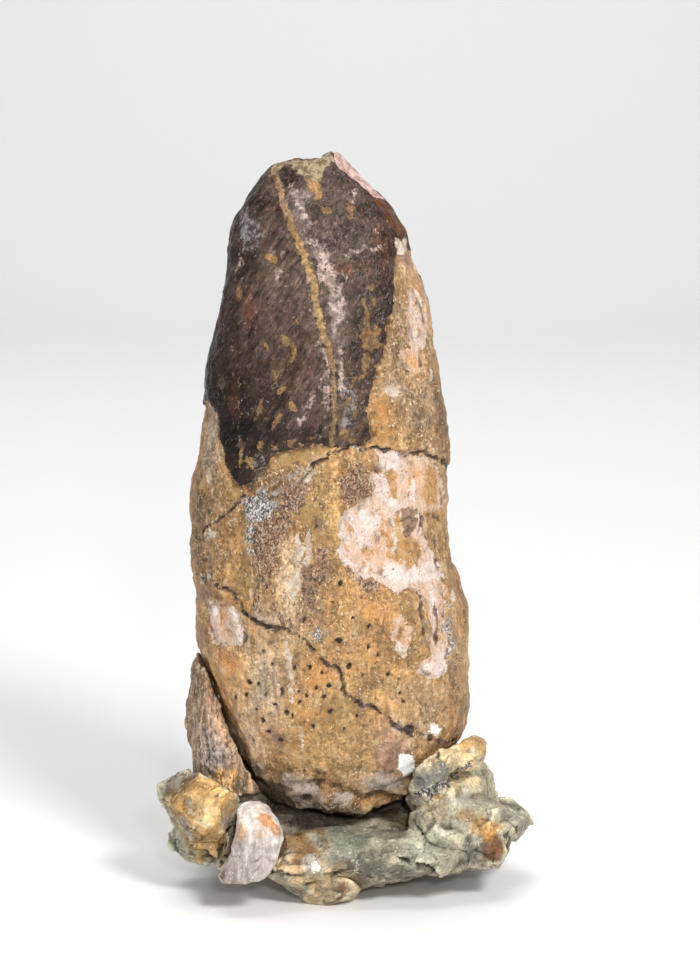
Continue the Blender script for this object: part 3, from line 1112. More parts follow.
class Torn:
    """The noises that the edges, gaps and mottling of one material's coats are torn by."""

    def __init__(self, wires, size):
        self.wires = wires
        self.bites = [wires.noise(size, 4.0, roughness=0.65, seed=seed) for seed in (3.0, 4.0)]
        self.gap = wires.noise(size * 0.7, 4.0, roughness=0.72, seed=5.0)
        self.mottling = wires.between(wires.noise(size * 1.3, 4.0, roughness=0.72, seed=6.0), 0.42, 0.58)

    def mask(self, coat, turn=0):
        inputs = {"Depth": self.wires.number(coat.mark), "Bite": self.bites[turn % 2], "Gap": self.gap}
        inputs.update({"Wander": coat.wander, "Soft": coat.soft, "Gaps": coat.gaps})
        return self.wires.group(ragged_edge, **inputs)["Mask"]

    def lay(self, colour, coat, over, turn=0):
        """Lays one coat over a colour."""
        return self.wires.mix(self.wires.times(self.mask(coat, turn), coat.strength), colour, over)

    def over(self, colour, coats):
        """Lays coats of their own two colours over a colour, one after another."""
        for turn, coat in enumerate(coats):
            colour = self.lay(colour, coat, self.wires.mix(self.mottling, coat.colour, coat.mottle), turn)
        return colour


DENTINE_COATS = [
    Coat("mauve", (0.24, 0.135, 0.095), (0.46, 0.28, 0.19), 0.7, 1.2, 0.3, 0.35),
    Coat("orange", (0.56, 0.23, 0.05), (0.68, 0.35, 0.11), 0.62, 2.4, 0.8, 0.45),
    Coat("ochre", (0.40, 0.22, 0.075), (0.54, 0.35, 0.15), 0.8, 0.9, 0.1, 0.25),
]
CRYSTAL = Coat("crystal", strength=0.84, wander=1.2, soft=0.15, gaps=0.2)
SCAR = Coat("scar", strength=0.97, wander=0.8, soft=0.05, gaps=0.1)
SCAR_COATS = [
    Coat("scar_amber", (0.48, 0.23, 0.055), (0.62, 0.36, 0.14), 0.9, 0.9, 0.10, 0.12),
    Coat("scar_white", (0.90, 0.79, 0.75), (0.76, 0.60, 0.53), 0.85, 0.9, 0.12, 0.15),
]
DARK_COATS = [Coat("dark", (0.085, 0.048, 0.030), (0.32, 0.20, 0.13), 0.92, 0.8, 0.06, 0.15)]
GLITTER_COAT = Coat("glitter", strength=0.85, wander=1.3, soft=0.25, gaps=0.25)
ENAMEL_EDGE = Coat("enamel", wander=0.6, soft=0.04, gaps=0.1)
ENAMEL_COATS = [
    Coat("crystal", (0.05, 0.042, 0.040), (0.31, 0.29, 0.285), 0.75, 1.2, 0.25, 0.5),
    Coat("haze", (0.62, 0.46, 0.40), (0.28, 0.205, 0.175), 0.86, 1.3, 0.42, 0.42),
]
CRUST_COAT = Coat("tan_crust", strength=0.95, wander=0.55, soft=0.07, gaps=0.16)
TOP_COATS = [
    Coat("slaty", (0.48, 0.41, 0.355), (0.245, 0.19, 0.15), 0.88, 0.8, 0.15, 0.3),
    Coat("pale", (0.80, 0.71, 0.58), (0.54, 0.42, 0.30), 0.85, 0.7, 0.12, 0.2),
    Coat("amber", (0.14, 0.050, 0.014), (0.055, 0.019, 0.008), 0.95, 0.5, 0.12, 0.05),
    Coat("pink_break", (0.66, 0.47, 0.41), (0.40, 0.25, 0.20), 0.95, 0.3, 0.05),
    Coat("tip", (0.40, 0.315, 0.19), (0.17, 0.115, 0.06), 0.88, 0.8, 0.12, 0.25),
    Coat("calcite", (1.0, 0.99, 0.97), (0.93, 0.91, 0.88), 1.0, 0.5, 0.06, 0.0),
    Coat("crack", (0.028, 0.020, 0.017), (0.15, 0.11, 0.09), 0.93, 1.0, 0.08, 0.2),
    Coat("pit", (0.024, 0.017, 0.014), (0.07, 0.04, 0.025), 0.92, 0.2, 0.08, 0.0),
]

CREAM_FLECK, WARM_FLECK, BURNT_FLECK = (0.92, 0.74, 0.52), (0.97, 0.78, 0.50), (0.10, 0.045, 0.015)
OCHRE_TINT, BROWN_TINT, RUSTY_TINT = (1.0, 0.80, 0.46), (0.50, 0.40, 0.32), (0.80, 0.56, 0.36)
CRYSTAL_GROUND, CRYSTAL_NEEDLE = (0.060, 0.030, 0.020), (0.62, 0.44, 0.32)
GLITTER_GROUND, GLITTER_GLINT = (0.045, 0.044, 0.048), (0.80, 0.80, 0.80)
FRESH_TINT, FRESH_PALE, FRESH_DARK = (0.90, 0.56, 0.28), (0.97, 0.93, 0.88), (0.42, 0.22, 0.10)
CRAZING, FINE_CRACK = (0.44, 0.24, 0.12), (0.10, 0.055, 0.03)
PALE_GRAIN, DARK_GRAIN = (0.95, 0.84, 0.68), (0.09, 0.045, 0.022)
MAROON_TINT, TAN_SPECK, GREY_SPECK = (1.0, 0.55, 0.42), (0.46, 0.38, 0.34), (0.52, 0.48, 0.46)
WRINKLE_DIRT, CRACK_DIRT, CRUST_TINT = (0.26, 0.18, 0.13), (0.34, 0.25, 0.18), (1.0, 0.84, 0.60)
WRINKLE_LEAN, NEEDLE_LEAN = -32.0, -14.0  # degrees
DENTINE_GLOSS, ENAMEL_GLOSS = 0.42, 0.19

tooth_finish, wires, shader = new_finish("fossil_dentine_and_enamel")
torn = Torn(wires, 0.9)
hollow_number = wires.number("hollow")
fine = wires.noise(0.62, 4.0, roughness=0.72, seed=1.0)
grit = wires.noise(0.30, 3.0, (1, 1, 0.8), roughness=0.72, seed=15.0, twist=0.6)
needles = wires.noise(0.26, 3.0, (1, 1, 0.6), roughness=0.74, seed=17.0, twist=0.8, lean=NEEDLE_LEAN)
rugged = wires.number("rugged")

# The dentine: films of ochre and brown over its stain, threads, flecks, grains and fine cracks.
soaked = wires.colour("dentine_stain")
brightness = wires.add("RGBToBW", {"Color": soaked}).outputs[0]
on_pale = wires.between(brightness, 0.03, 0.17, 0.12, 1.0)  # dust shows less where it is stained dark
thread = wires.group(streaks, Width=0.9, Twist=0.8)["Height"]
clustered = wires.between(wires.noise(1.9, 4.0, roughness=0.7, seed=19.0), 0.42, 0.58, 0.25, 1.1)
swing = wires.times(wires.between(fine, 0.32, 0.68, -1.0, 1.0), wires.blend(rugged, 0.27, 0.46))
pale_fleck = wires.between(grit, 0.54, 0.63)
pale_fleck = wires.times(pale_fleck, wires.blend(rugged, 0.36, 0.88), clustered, on_pale)
dark_fleck = wires.times(wires.between(grit, 0.46, 0.36), wires.blend(rugged, 0.36, 0.90), clustered)
grains = wires.group(sand, Size=0.34, PaleShare=0.08, DarkShare=0.10)

dentine = wires.toned(soaked, wires.noise(4.5, 5.0, roughness=0.70, seed=2.0), 0.36, 0.64, 0.69, 1.31)
dentine = wires.filmed(dentine, OCHRE_TINT, 0.6, Size=4.2, Share=0.40, Crisp=0.10, Upright=1.5, Seed=1.0)
shape = {"Size": 2.8, "Share": 0.30, "Crisp": 0.06, "Upright": 2.0, "Seed": 2.0}
dentine = wires.filmed(dentine, BROWN_TINT, wires.blend(rugged, 0.42, 0.85), **shape)
shape = {"Size": 1.5, "Share": 0.24, "Crisp": 0.04, "Upright": 2.2, "Seed": 3.0, "blend": "MIX"}
dentine = wires.filmed(dentine, CREAM_FLECK, wires.blend(rugged, 0.12, 0.5), on_pale, **shape)
dentine = wires.toned(dentine, thread, 0.36, 0.66, 0.82, 1.16)
dentine = wires.shaded(dentine, wires.plus(swing, 1.0))
dentine = wires.mix(pale_fleck, dentine, WARM_FLECK)
dentine = wires.mix(dark_fleck, dentine, BURNT_FLECK)
dentine = torn.over(dentine, DENTINE_COATS)

# Bare crystalline bands: dark purplish brown, thick with pinkish needles.
crystals = wires.mix(wires.between(needles, 0.44, 0.61), CRYSTAL_GROUND, CRYSTAL_NEEDLE)
crystals = wires.tint(wires.between(torn.mottling, 0.3, 0.8, 0.0, 0.6), crystals, RUSTY_TINT)
dentine = torn.lay(dentine, CRYSTAL, crystals, 1)

# Where it flaked, its fresh inside shows: pinkish white and orange, crazed with brown.
fibre = wires.group(streaks, Width=0.55, Twist=0.9)["Height"]
fresh = wires.toned(wires.colour("scar_stain"), fibre, 0.36, 0.66, 0.84, 1.08)
fresh = wires.filmed(fresh, FRESH_TINT, 0.75, Size=1.7, Share=0.34, Crisp=0.05, Upright=1.5, Seed=6.0)
fresh = torn.over(fresh, SCAR_COATS)
fresh = wires.specked(fresh, FRESH_PALE, needles, 0.56, 0.68, 0.6)
fresh = wires.specked(fresh, FRESH_DARK, needles, 0.43, 0.33, 0.6)
crazed = wires.group(hairlines, Size=1.8, Width=0.10, Share=0.5)["Mask"]
fresh = wires.mix(wires.times(crazed, 0.5), fresh, CRAZING)
scar_mask = torn.mask(SCAR)
dentine = wires.mix(wires.times(scar_mask, SCAR.strength), dentine, fresh)
cracks = wires.group(hairlines, Size=5.5, Width=0.10, Share=0.30)["Mask"]
dentine = wires.mix(wires.times(cracks, 0.6), dentine, FINE_CRACK)
dentine = wires.mix(wires.times(grains["Pale"], 0.75), dentine, PALE_GRAIN)
dentine = wires.mix(wires.times(grains["Dark"], 0.75), dentine, DARK_GRAIN)
dentine = torn.over(dentine, DARK_COATS)
sparkle = wires.mix(wires.between(needles, 0.46, 0.60), GLITTER_GROUND, GLITTER_GLINT)
dentine = torn.lay(dentine, GLITTER_COAT, sparkle)
dentine = wires.toned(dentine, hollow_number, 0.03, 0.24, 1.0, 0.34)
worn = wires.times(wires.between(hollow_number, -0.06, -0.22, 0.0, 0.26), on_pale)
dentine = wires.mix(worn, dentine, CREAM_FLECK)

# The enamel: near black at the left and umber at the right, hazed, with specks and dirt in its wrinkles.
wrinkle = wires.noise(1.1, 3.0, (1, 1, 0.45), roughness=0.6, seed=14.0, twist=0.25, lean=WRINKLE_LEAN)
scratch = wires.noise(0.62, 3.0, (1, 1, 0.22), roughness=0.66, seed=24.0, twist=0.2, lean=WRINKLE_LEAN)
speck = wires.noise(0.6, 3.0, roughness=0.7, seed=7.0)
dust = wires.group(settled, Hollow=hollow_number, From=0.03, To=0.11, Patchy=0.95)["Mask"]
enamel = wires.colour("enamel_stain")
enamel = wires.filmed(enamel, MAROON_TINT, 0.4, Size=3.0, Share=0.30, Crisp=0.16, Upright=1.3, Seed=8.0)
enamel = wires.toned(enamel, wires.noise(2.6, 3.0, roughness=0.6, seed=9.0), 0.36, 0.64, 0.62, 1.32)
enamel = wires.toned(enamel, speck, 0.34, 0.58, 0.62, 1.08)
enamel = wires.specked(enamel, TAN_SPECK, speck, 0.64, 0.72, 0.5)
enamel = wires.specked(enamel, GREY_SPECK, grit, 0.66, 0.72, 0.6)
enamel = wires.toned(enamel, scratch, 0.56, 0.68, 1.0, 2.0)
enamel = wires.toned(enamel, scratch, 0.46, 0.34, 1.0, 0.45)
enamel = wires.mix(wires.times(dust, 0.35), enamel, WRINKLE_DIRT)
enamel = wires.mix(wires.times(cracks, 0.3), enamel, CRACK_DIRT)
enamel = torn.over(enamel, ENAMEL_COATS)

# The sediment that fills the long crack and lies in spots on the enamel.
crust = wires.toned(wires.colour("crust_stain"), fine, 0.34, 0.66, 0.58, 1.42)
crust = wires.toned(crust, grit, 0.38, 0.62, 0.74, 1.26)
crust = wires.tint(wires.between(torn.mottling, 0.3, 0.9, 0.0, 0.5), crust, CRUST_TINT)
crusted = torn.mask(CRUST_COAT, 1)
enamel = wires.mix(wires.times(crusted, CRUST_COAT.strength), enamel, crust)

enamel_mask = torn.mask(ENAMEL_EDGE)
polish = wires.between(torn.mottling, 0.0, 1.0, 0.12, 0.26)
gritty = wires.between(grit, 0.38, 0.62, 0.60, 0.24)
enamel_dull = wires.plus(polish, wires.times(wires.math("MAXIMUM", dust, crusted), 0.35))
wires.feed(shader.inputs["Specular IOR Level"], wires.blend(enamel_mask, DENTINE_GLOSS, ENAMEL_GLOSS))
dentine_height = wires.plus(
    wires.times(grains["Height"], 0.05),
    wires.times(fine, 0.26),
    wires.times(grit, wires.blend(rugged, 0.22, 0.40)),
    wires.times(thread, 0.10),
    wires.times(fibre, scar_mask, 0.16),
)
enamel_height = wires.plus(
    wires.times(wires.between(wrinkle, 0.30, 0.66), 0.22),
    wires.times(speck, 0.06),
    wires.times(crusted, 0.08),
)
surfaced(
    wires,
    shader,
    torn.over(wires.mix(enamel_mask, dentine, enamel), TOP_COATS),
    wires.blend(enamel_mask, gritty, enamel_dull),
    wires.blend(enamel_mask, dentine_height, enamel_height),
)
tooth_mesh.materials.append(tooth_finish)
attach(fossil_tooth, "root")
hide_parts("tooth")

# ---------------------------------------------------------------------------------------------------
# Matrix: the lump of greenish mudstone that the root sits in, ochre with iron at its left, with rust,
# white calcite and a seam of crystals. It is broken rock, so it gets ledges, cracks and grit.

ROCK_GRAIN = 0.28
JOINT_WIDTH = 0.16
FACE_REACH = 1.6  # how far the surface may move to lie on a flat face
TURN_COST = 1.2  # how much a turned face counts as further off
NODULE_HEIGHT, NODULE_START = (12.0, 16.0), (5.0, 9.0)  # the nodule at the right is rounded


def fine_copy(node, grain, easing):
    """A node's solid as an even fine mesh: its points, outward directions and faces, in millimetres."""
    copied = placed(node + "_fine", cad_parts[node].data.copy())
    remesh = copied.modifiers.new("even", "REMESH")
    remesh.mode = "VOXEL"
    remesh.voxel_size = grain * MM
    ease = copied.modifiers.new("eased", "SMOOTH")
    ease.iterations = easing
    ready = copied.evaluated_get(bpy.context.evaluated_depsgraph_get()).to_mesh()
    points, outward = (np.empty(len(ready.vertices) * 3) for _ in range(2))
    ready.vertices.foreach_get("co", points)
    ready.vertices.foreach_get("normal", outward)
    faces = [tuple(face.vertices) for face in ready.polygons]
    bpy.data.objects.remove(copied)
    return points.reshape(-1, 3) / MM, outward.reshape(-1, 3), faces


def piece_from(name, points, faces):
    """A smooth-shaded object in the scene, from points in millimetres."""
    mesh = bpy.data.meshes.new(name)
    mesh.from_pydata(points * MM, [], faces)
    mesh.shade_smooth()
    return placed(name, mesh)


class Patch(NamedTuple):
    """A round patch of colour on a rock: its middle in the view, its radius in pixels, its strength."""

    colour: tuple
    x: float
    y: float
    radius: float
    strength: float = 0.9


def sight(x, y, from_behind=False):
    """Where the line of sight through a pixel of the view starts, and its way; or the same from behind."""
    right = (x - VIEW_WIDE / 2) / PIXELS_PER_MM
    up = (VIEW_HIGH / 2 - y) / PIXELS_PER_MM
    way = looking * CAMERA_DISTANCE + np.array((right, 0, 0)) + upward * up
    turn = np.array((1, -1, 1)) if from_behind else 1
    return Vector(camera_spot * turn), Vector(way * turn).normalized()


def places_of(solid, marks):
    """The points of a solid under the middles of some patches, in front and, mirrored, behind."""
    found = []
    for mark in marks:
        for from_behind in (False, True):
            hit = solid.ray_cast(*sight(mark.x, mark.y, from_behind))[0]
            if hit is not None:
                found.append((mark, np.array(hit)))
    return found


def patched(points, base, solid, patches, wander):
    """A colour for each point: the base with every patch soaked in, its edge wandering."""
    colour = np.ones((len(points), 3)) * base
    for mark, place in places_of(solid, patches):
        reach = mark.radius / PIXELS_PER_MM
        far = np.linalg.norm(points - place, axis=1) / reach + wander
        soak = (mark.strength * (1 - step(0.55, 1.25, far)))[:, None]
        colour = colour * (1 - soak) + np.array(mark.colour) * soak
    return colour


def depth_of_patches(points, solid, patches):
    """How deep each point lies inside the nearest of some patches, in millimetres."""
    depth = np.full(len(points), -9.0)
    for mark, place in places_of(solid, patches):
        far = np.linalg.norm(points - place, axis=1)
        depth = np.maximum(depth, mark.radius / PIXELS_PER_MM - far)
    return depth


def smoothed_over(faces, values, times):
    """A value for each point, evened out with its neighbours so many times."""
    first, second = np.array([(a, b) for face in faces for a, b in zip(face, face[1:] + face[:1])]).T
    count = np.bincount(first, minlength=len(values)) + np.bincount(second, minlength=len(values))
    for _ in range(times):
        total = np.bincount(first, values[second], len(values))
        total += np.bincount(second, values[first], len(values))
        values = total / np.maximum(count, 1)
    return values


MUD = (0.41, 0.37, 0.265)
GREENISH = (0.30, 0.31, 0.235)
PALE_GREEN = (0.47, 0.46, 0.35)
OCHRE_ROCK = (0.60, 0.35, 0.12)
BROWN_ROCK = (0.20, 0.11, 0.04)
RUST = (0.15, 0.075, 0.03)
TAN_ROCK = (0.48, 0.34, 0.19)
EARTH = (0.15, 0.105, 0.07)
PALE_ROCK = (0.74, 0.60, 0.38)

ROCK_PATCHES = [Patch(*row) for row in (
    ((0.25, 0.26, 0.20), 345, 843, 26), (PALE_GREEN, 427, 848, 24),
    ((0.12, 0.12, 0.09), 368, 868, 22, 0.85), ((0.54, 0.52, 0.40), 462, 796, 36),
    (TAN_ROCK, 440, 806, 16, 0.5), ((0.40, 0.385, 0.29), 512, 812, 20),
    ((0.30, 0.215, 0.12), 330, 889, 30, 0.85), ((0.58, 0.41, 0.22), 302, 866, 26),
    ((0.21, 0.115, 0.04), 296, 838, 28), (RUST, 305, 826, 10, 0.8),
    ((0.66, 0.62, 0.52), 312, 866, 9, 0.8), (RUST, 345, 889, 7, 0.8), (OCHRE_ROCK, 206, 800, 32),
    ((0.40, 0.23, 0.07), 178, 804, 20), ((0.38, 0.23, 0.08), 206, 836, 26, 0.9),
    (GREENISH, 180, 838, 13, 0.8), (EARTH, 210, 864, 13, 0.8), (BROWN_ROCK, 186, 780, 13, 0.9),
    (BROWN_ROCK, 220, 774, 14, 0.85), ((0.78, 0.52, 0.25), 207, 812, 13, 0.7),
    (BROWN_ROCK, 168, 792, 10, 0.7), ((0.64, 0.49, 0.28), 446, 746, 40),
    ((0.50, 0.30, 0.11), 472, 738, 20), ((0.62, 0.60, 0.46), 430, 752, 14, 0.7), (RUST, 432, 761, 5, 0.8),
    ((0.20, 0.195, 0.17), 440, 777, 13, 0.9), ((0.20, 0.20, 0.18), 426, 782, 13, 0.9),
    ((0.56, 0.44, 0.26), 480, 822, 16, 0.8), ((0.52, 0.30, 0.10), 490, 832, 12, 0.9),
    ((0.17, 0.065, 0.018), 492, 847, 17, 0.98), ((0.50, 0.27, 0.08), 484, 828, 12, 0.8),
    (RUST, 501, 843, 6, 0.7), ((0.34, 0.18, 0.07), 468, 816, 8, 0.6),
    ((0.34, 0.18, 0.07), 406, 824, 8, 0.5), (EARTH, 388, 812, 12, 0.95),
    ((0.16, 0.125, 0.09), 315, 812, 34, 0.9), ((0.14, 0.12, 0.085), 352, 816, 18, 0.9),
    (EARTH, 282, 806, 14, 0.9), (TAN_ROCK, 425, 740, 7, 0.4), ((0.17, 0.17, 0.13), 470, 850, 14, 0.8),
    ((0.16, 0.16, 0.12), 404, 868, 14, 0.8), ((0.20, 0.21, 0.17), 400, 832, 9, 0.7),
    ((0.24, 0.25, 0.20), 352, 830, 12, 0.5),
)]
CALCITE_PATCHES = [Patch(MUD, 426, 794, 2.4), Patch(MUD, 316, 868, 4)]
SEAM_PATCHES = [
    Patch(MUD, x, y, radius)
    for x, y, radius in (
        (418, 794, 5), (427, 792, 6), (436, 788, 6), (445, 783, 5), (454, 776, 4),
        (462, 770, 4), (469, 765, 4),
        (402, 744, 4), (414, 733, 4), (448, 780, 4), (440, 784, 5),
    )
]


def broken_flat(points, outward, spacing, seed, softness):
    """The surface split into uneven flat faces: how far each point moves out to lie on one, a tone
    for each face, and how near the point is to the joint between two faces, from 0 to 1."""
    faces_over = 6 * (np.ptp(points, axis=0) ** 2).mean() / spacing**2
    draw = np.random.default_rng(seed).choice(len(points), int(faces_over), replace=False)
    seats, leans = points[draw], outward[draw]
    nearest, closeness = [], []
    for start in range(0, len(points), 4000):
        some, way = points[start : start + 4000], outward[start : start + 4000]
        far = ((some[:, None] - seats[None]) ** 2).sum(-1) + TURN_COST * spacing**2 * (1 - way @ leans.T)
        order = np.argpartition(far, 3, axis=1)[:, :3]
        nearest.append(order)
        closeness.append(np.sqrt(np.maximum(np.take_along_axis(far, order, axis=1), 0)))
    nearest, closeness = np.concatenate(nearest), np.concatenate(closeness)
    owner = nearest[np.arange(len(points)), closeness.argmin(axis=1)]
    members = np.maximum(np.bincount(owner, minlength=len(draw)), 1)[:, None]
    middles = np.stack([np.bincount(owner, points[:, k], len(draw)) for k in range(3)], axis=1) / members
    facings = np.stack([np.bincount(owner, outward[:, k], len(draw)) for k in range(3)], axis=1)
    facings /= np.maximum(np.linalg.norm(facings, axis=1, keepdims=True), 1e-9)
    weight = np.exp(-(closeness - closeness.min(axis=1, keepdims=True)) / softness)
    moved = np.zeros(len(points))
    for k in range(3):
        plane = nearest[:, k]
        slope = np.maximum((outward * facings[plane]).sum(axis=1), 0.35)
        reach = ((middles[plane] - points) * facings[plane]).sum(axis=1) / slope
        moved += weight[:, k] * np.clip(reach, -FACE_REACH, FACE_REACH)
    tones = np.random.default_rng(seed + 50).uniform(-1, 1, len(draw))
    tone = (weight * tones[nearest]).sum(axis=1) / weight.sum(axis=1)
    first, second = np.partition(closeness, 1, axis=1)[:, :2].T
    return moved / weight.sum(axis=1), tone, np.exp(-(((second - first) / JOINT_WIDTH) ** 2))


rock_solid = solid_of("matrix")
rock, rock_out, rock_faces = fine_copy("matrix", ROCK_GRAIN, 2)
off_ground = step(0.2, 2.2, rock[:, 2])
crack_place = rock + 0.5 * rough(rock, 1.5, 2, 52)[:, None]
splits = step(0.93, 1.0, creased(crack_place, 9.0, 1, 53)) * step(-0.2, 0.2, rough(rock, 6.0, 1, 54))
big_break, big_tone, big_joint = broken_flat(rock, rock_out, 5.5, 1, 0.10)
lumpy = step(*NODULE_HEIGHT, rock[:, 2]) * step(*NODULE_START, rock[:, 0])
rock_relief = (0.85 - 0.70 * lumpy) * big_break
flattened = rock + rock_out * rock_relief[:, None]
small_break, small_tone, small_joint = broken_flat(flattened, rock_out, 2.6, 2, 0.08)
rock_relief += (0.42 - 0.32 * lumpy) * small_break + (0.05 + 0.30 * lumpy) * rough(rock, 3.6, 2, 55)
big_joint *= step(-0.25, 0.1, rough(rock, 5.0, 1, 57))
small_joint *= step(0.05, 0.3, rough(rock, 3.4, 1, 59))
open_joint = np.maximum(big_joint, small_joint)
rock_relief += 0.06 * rough(rock, 0.9, 3, 56) - 0.40 * splits - 0.22 * open_joint * (1 - lumpy)
rock_relief = np.clip(rock_relief, -1.5, 0.9)
rock_hollow = smoothed_over(rock_faces, rock_relief, 18) - rock_relief
rock = rock + rock_out * (rock_relief * off_ground)[:, None]
rock[:, 2] = np.maximum(rock[:, 2], 0)
evened = np.stack([smoothed_over(rock_faces, course, 60) for course in rock.T], axis=1)
rock_dip = ((evened - rock) * rock_out).sum(axis=1)
rock_tone = (0.6 * big_tone + 0.5 * small_tone) * (1 - 0.5 * lumpy)

matrix_rock = piece_from("matrix_rock", rock, rock_faces)
give(
    matrix_rock.data,
    rock_stain=patched(rock, MUD, rock_solid, ROCK_PATCHES, 0.55 * rough(rock, 1.9, 4, 58)),
    calcite=depth_of_patches(rock, rock_solid, CALCITE_PATCHES),
    seam=depth_of_patches(rock, rock_solid, SEAM_PATCHES),
    split=np.maximum(splits, 0.7 * open_joint * (1 - lumpy)),
    dip=rock_dip,
    tone=rock_tone,
    hollow=rock_hollow,
)

RUST_FILM, SLATE_FILM, PALE_DUST = (0.90, 0.58, 0.30), (0.52, 0.50, 0.44), (0.84, 0.79, 0.64)
PALE_SAND, DARK_SAND, SPLIT_DIRT = (0.90, 0.86, 0.74), (0.06, 0.045, 0.03), (0.04, 0.03, 0.02)
DIP_EARTH, WHITE_CALCITE = (0.34, 0.28, 0.20), (0.93, 0.90, 0.83)
SEAM_GROUND, SEAM_GLINT = (0.045, 0.04, 0.04), (0.80, 0.79, 0.76)
SEAM_COAT = Coat("seam", strength=0.9, wander=1.2, soft=0.2, gaps=0.25)
CALCITE_COAT = Coat("calcite", strength=0.95, wander=1.0, soft=0.08, gaps=0.2)

rock_finish, wires, shader = new_finish("mudstone_with_iron")
torn = Torn(wires, 1.0)
grit = wires.noise(0.42, 4.0, roughness=0.76, seed=9.0)
hollow_number, dip = wires.number("hollow"), wires.number("dip")
grains = wires.group(sand, Size=0.40, PaleShare=0.07, DarkShare=0.12)
lines = wires.group(hairlines, Size=7.0, Width=0.10, Share=0.20)["Mask"]
cloud = wires.noise(3.6, 4.0, roughness=0.62, seed=1.0)
stone = wires.toned(wires.colour("rock_stain"), cloud, 0.34, 0.66, 0.78, 1.20)
stone = wires.toned(stone, wires.number("tone"), -0.9, 0.9, 0.72, 1.28)
stone = wires.filmed(stone, RUST_FILM, 0.75, Size=3.2, Share=0.22, Crisp=0.12, Seed=12.0)
stone = wires.filmed(stone, SLATE_FILM, 0.7, Size=2.6, Share=0.24, Crisp=0.10, Seed=13.0)
stone = wires.filmed(stone, PALE_DUST, 0.3, blend="MIX", Size=1.8, Share=0.24, Crisp=0.05, Seed=14.0)
stone = wires.toned(stone, grit, 0.30, 0.70, 0.66, 1.34)
stone = wires.mix(wires.times(grains["Pale"], 0.6), stone, PALE_SAND)
stone = wires.mix(wires.times(grains["Dark"], 0.7), stone, DARK_SAND)
stone = wires.mix(wires.times(lines, 0.8), stone, DARK_SAND)
stone = wires.toned(stone, hollow_number, 0.04, 0.40, 1.0, 0.24)
stone = wires.toned(stone, hollow_number, -0.06, -0.30, 1.0, 1.30)
stone = wires.mix(wires.times(wires.number("split"), 0.85), stone, SPLIT_DIRT)
stone = wires.tint(wires.between(dip, 0.10, 0.75, 0.0, 0.72), stone, DIP_EARTH)
stone = wires.toned(stone, dip, -0.12, -0.60, 1.0, 1.30)
sparkle = wires.mix(wires.between(grit, 0.52, 0.60), SEAM_GROUND, SEAM_GLINT)
stone = torn.lay(stone, SEAM_COAT, sparkle)
stone = torn.lay(stone, CALCITE_COAT, WHITE_CALCITE)
surfaced(
    wires,
    shader,
    stone,
    wires.between(grit, 0.35, 0.65, 0.80, 0.40),
    wires.plus(wires.times(grit, 0.24), wires.times(grains["Height"], 0.06), wires.times(lines, -0.15)),
)

matrix_rock.data.materials.append(rock_finish)
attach(matrix_rock, "root")
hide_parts("matrix")

# ---------------------------------------------------------------------------------------------------
# Bone chip: a sliver of pinkish white bone stuck upright in the mudstone in front. It split off along
# its fibres, so its face is grained up and down, and orange iron has soaked into its upper half.

CHIP_GRAIN = 0.13
CHIP_LEAN = np.array((0.30, 0.0, 0.954))
CHIP_SNAP = 7.6  # height of the crack across it
CHIP_BASE = (0.80, 0.70, 0.64)
PALE_BONE, DARK_BONE, BONE_DIRT = (0.93, 0.87, 0.82), (0.46, 0.37, 0.32), (0.20, 0.13, 0.09)

CHIP_PATCHES = [Patch(*row) for row in (
    ((0.40, 0.35, 0.32), 244, 866, 36), ((0.50, 0.45, 0.42), 264, 850, 12, 0.8),
    ((0.30, 0.26, 0.235), 226, 874, 10, 0.8), ((0.82, 0.70, 0.62), 250, 816, 22),
    ((0.66, 0.26, 0.07), 268, 820, 9, 0.95), ((0.64, 0.27, 0.08), 278, 830, 7, 0.9),
    ((0.66, 0.36, 0.16), 240, 832, 8, 0.8), ((0.66, 0.36, 0.17), 262, 834, 6, 0.6),
    ((0.20, 0.12, 0.07), 222, 876, 6, 0.8), ((0.90, 0.82, 0.77), 244, 806, 13, 0.85),
)]


def bone_finish(name, pale, dark, dirt, contrast):
    """Grained bone over a soaked-in stain: pale and dark fibres, and dirt in what is hollow."""
    finish, wires, shader = new_finish(name)
    grain = wires.group(streaks, Width=0.42, Twist=0.2)["Height"]
    strand = wires.noise(0.9, 4.0, (1, 1, 0.2), roughness=0.7, seed=5.0, twist=0.3)
    speck = wires.noise(0.32, 3.0, roughness=0.7, seed=3.0)
    cloud = wires.noise(2.2, 4.0, roughness=0.62, seed=2.0)
    hollowed = wires.number("hollow")
    swing = 0.22 * contrast
    bone = wires.toned(wires.colour("bone_stain"), cloud, 0.34, 0.66, 0.80, 1.14)
    bone = wires.specked(bone, pale, grain, 0.54, 0.68, 0.34 * contrast)
    bone = wires.specked(bone, dark, grain, 0.46, 0.34, 0.34 * contrast)
    bone = wires.toned(bone, strand, 0.40, 0.60, 1 - swing, 1 + swing)
    bone = wires.specked(bone, pale, speck, 0.57, 0.68, 0.55 * contrast)
    bone = wires.specked(bone, dark, speck, 0.43, 0.33, 0.5 * contrast)
    bone = wires.specked(bone, dirt, hollowed, 0.03, 0.18, 0.75)
    bone = wires.specked(bone, pale, hollowed, -0.03, -0.12, 0.4)
    height = wires.plus(wires.times(grain, 0.14), wires.times(speck, 0.20))
    surfaced(wires, shader, bone, wires.between(speck, 0.3, 0.7, 0.66, 0.34), height)
    return finish


def bone_piece(name, node, copied, relief, base, patches, wander, finish):
    """A fine copy of a node with relief on its surface, stains in it and its finish."""
    points, outward, faces = copied
    piece = piece_from(name, points + outward * relief[:, None], faces)
    give(
        piece.data,
        bone_stain=patched(points, base, solid_of(node), patches, wander),
        hollow=smoothed_over(faces, relief, 14) - relief,
    )
    piece.data.materials.append(finish)
    return piece


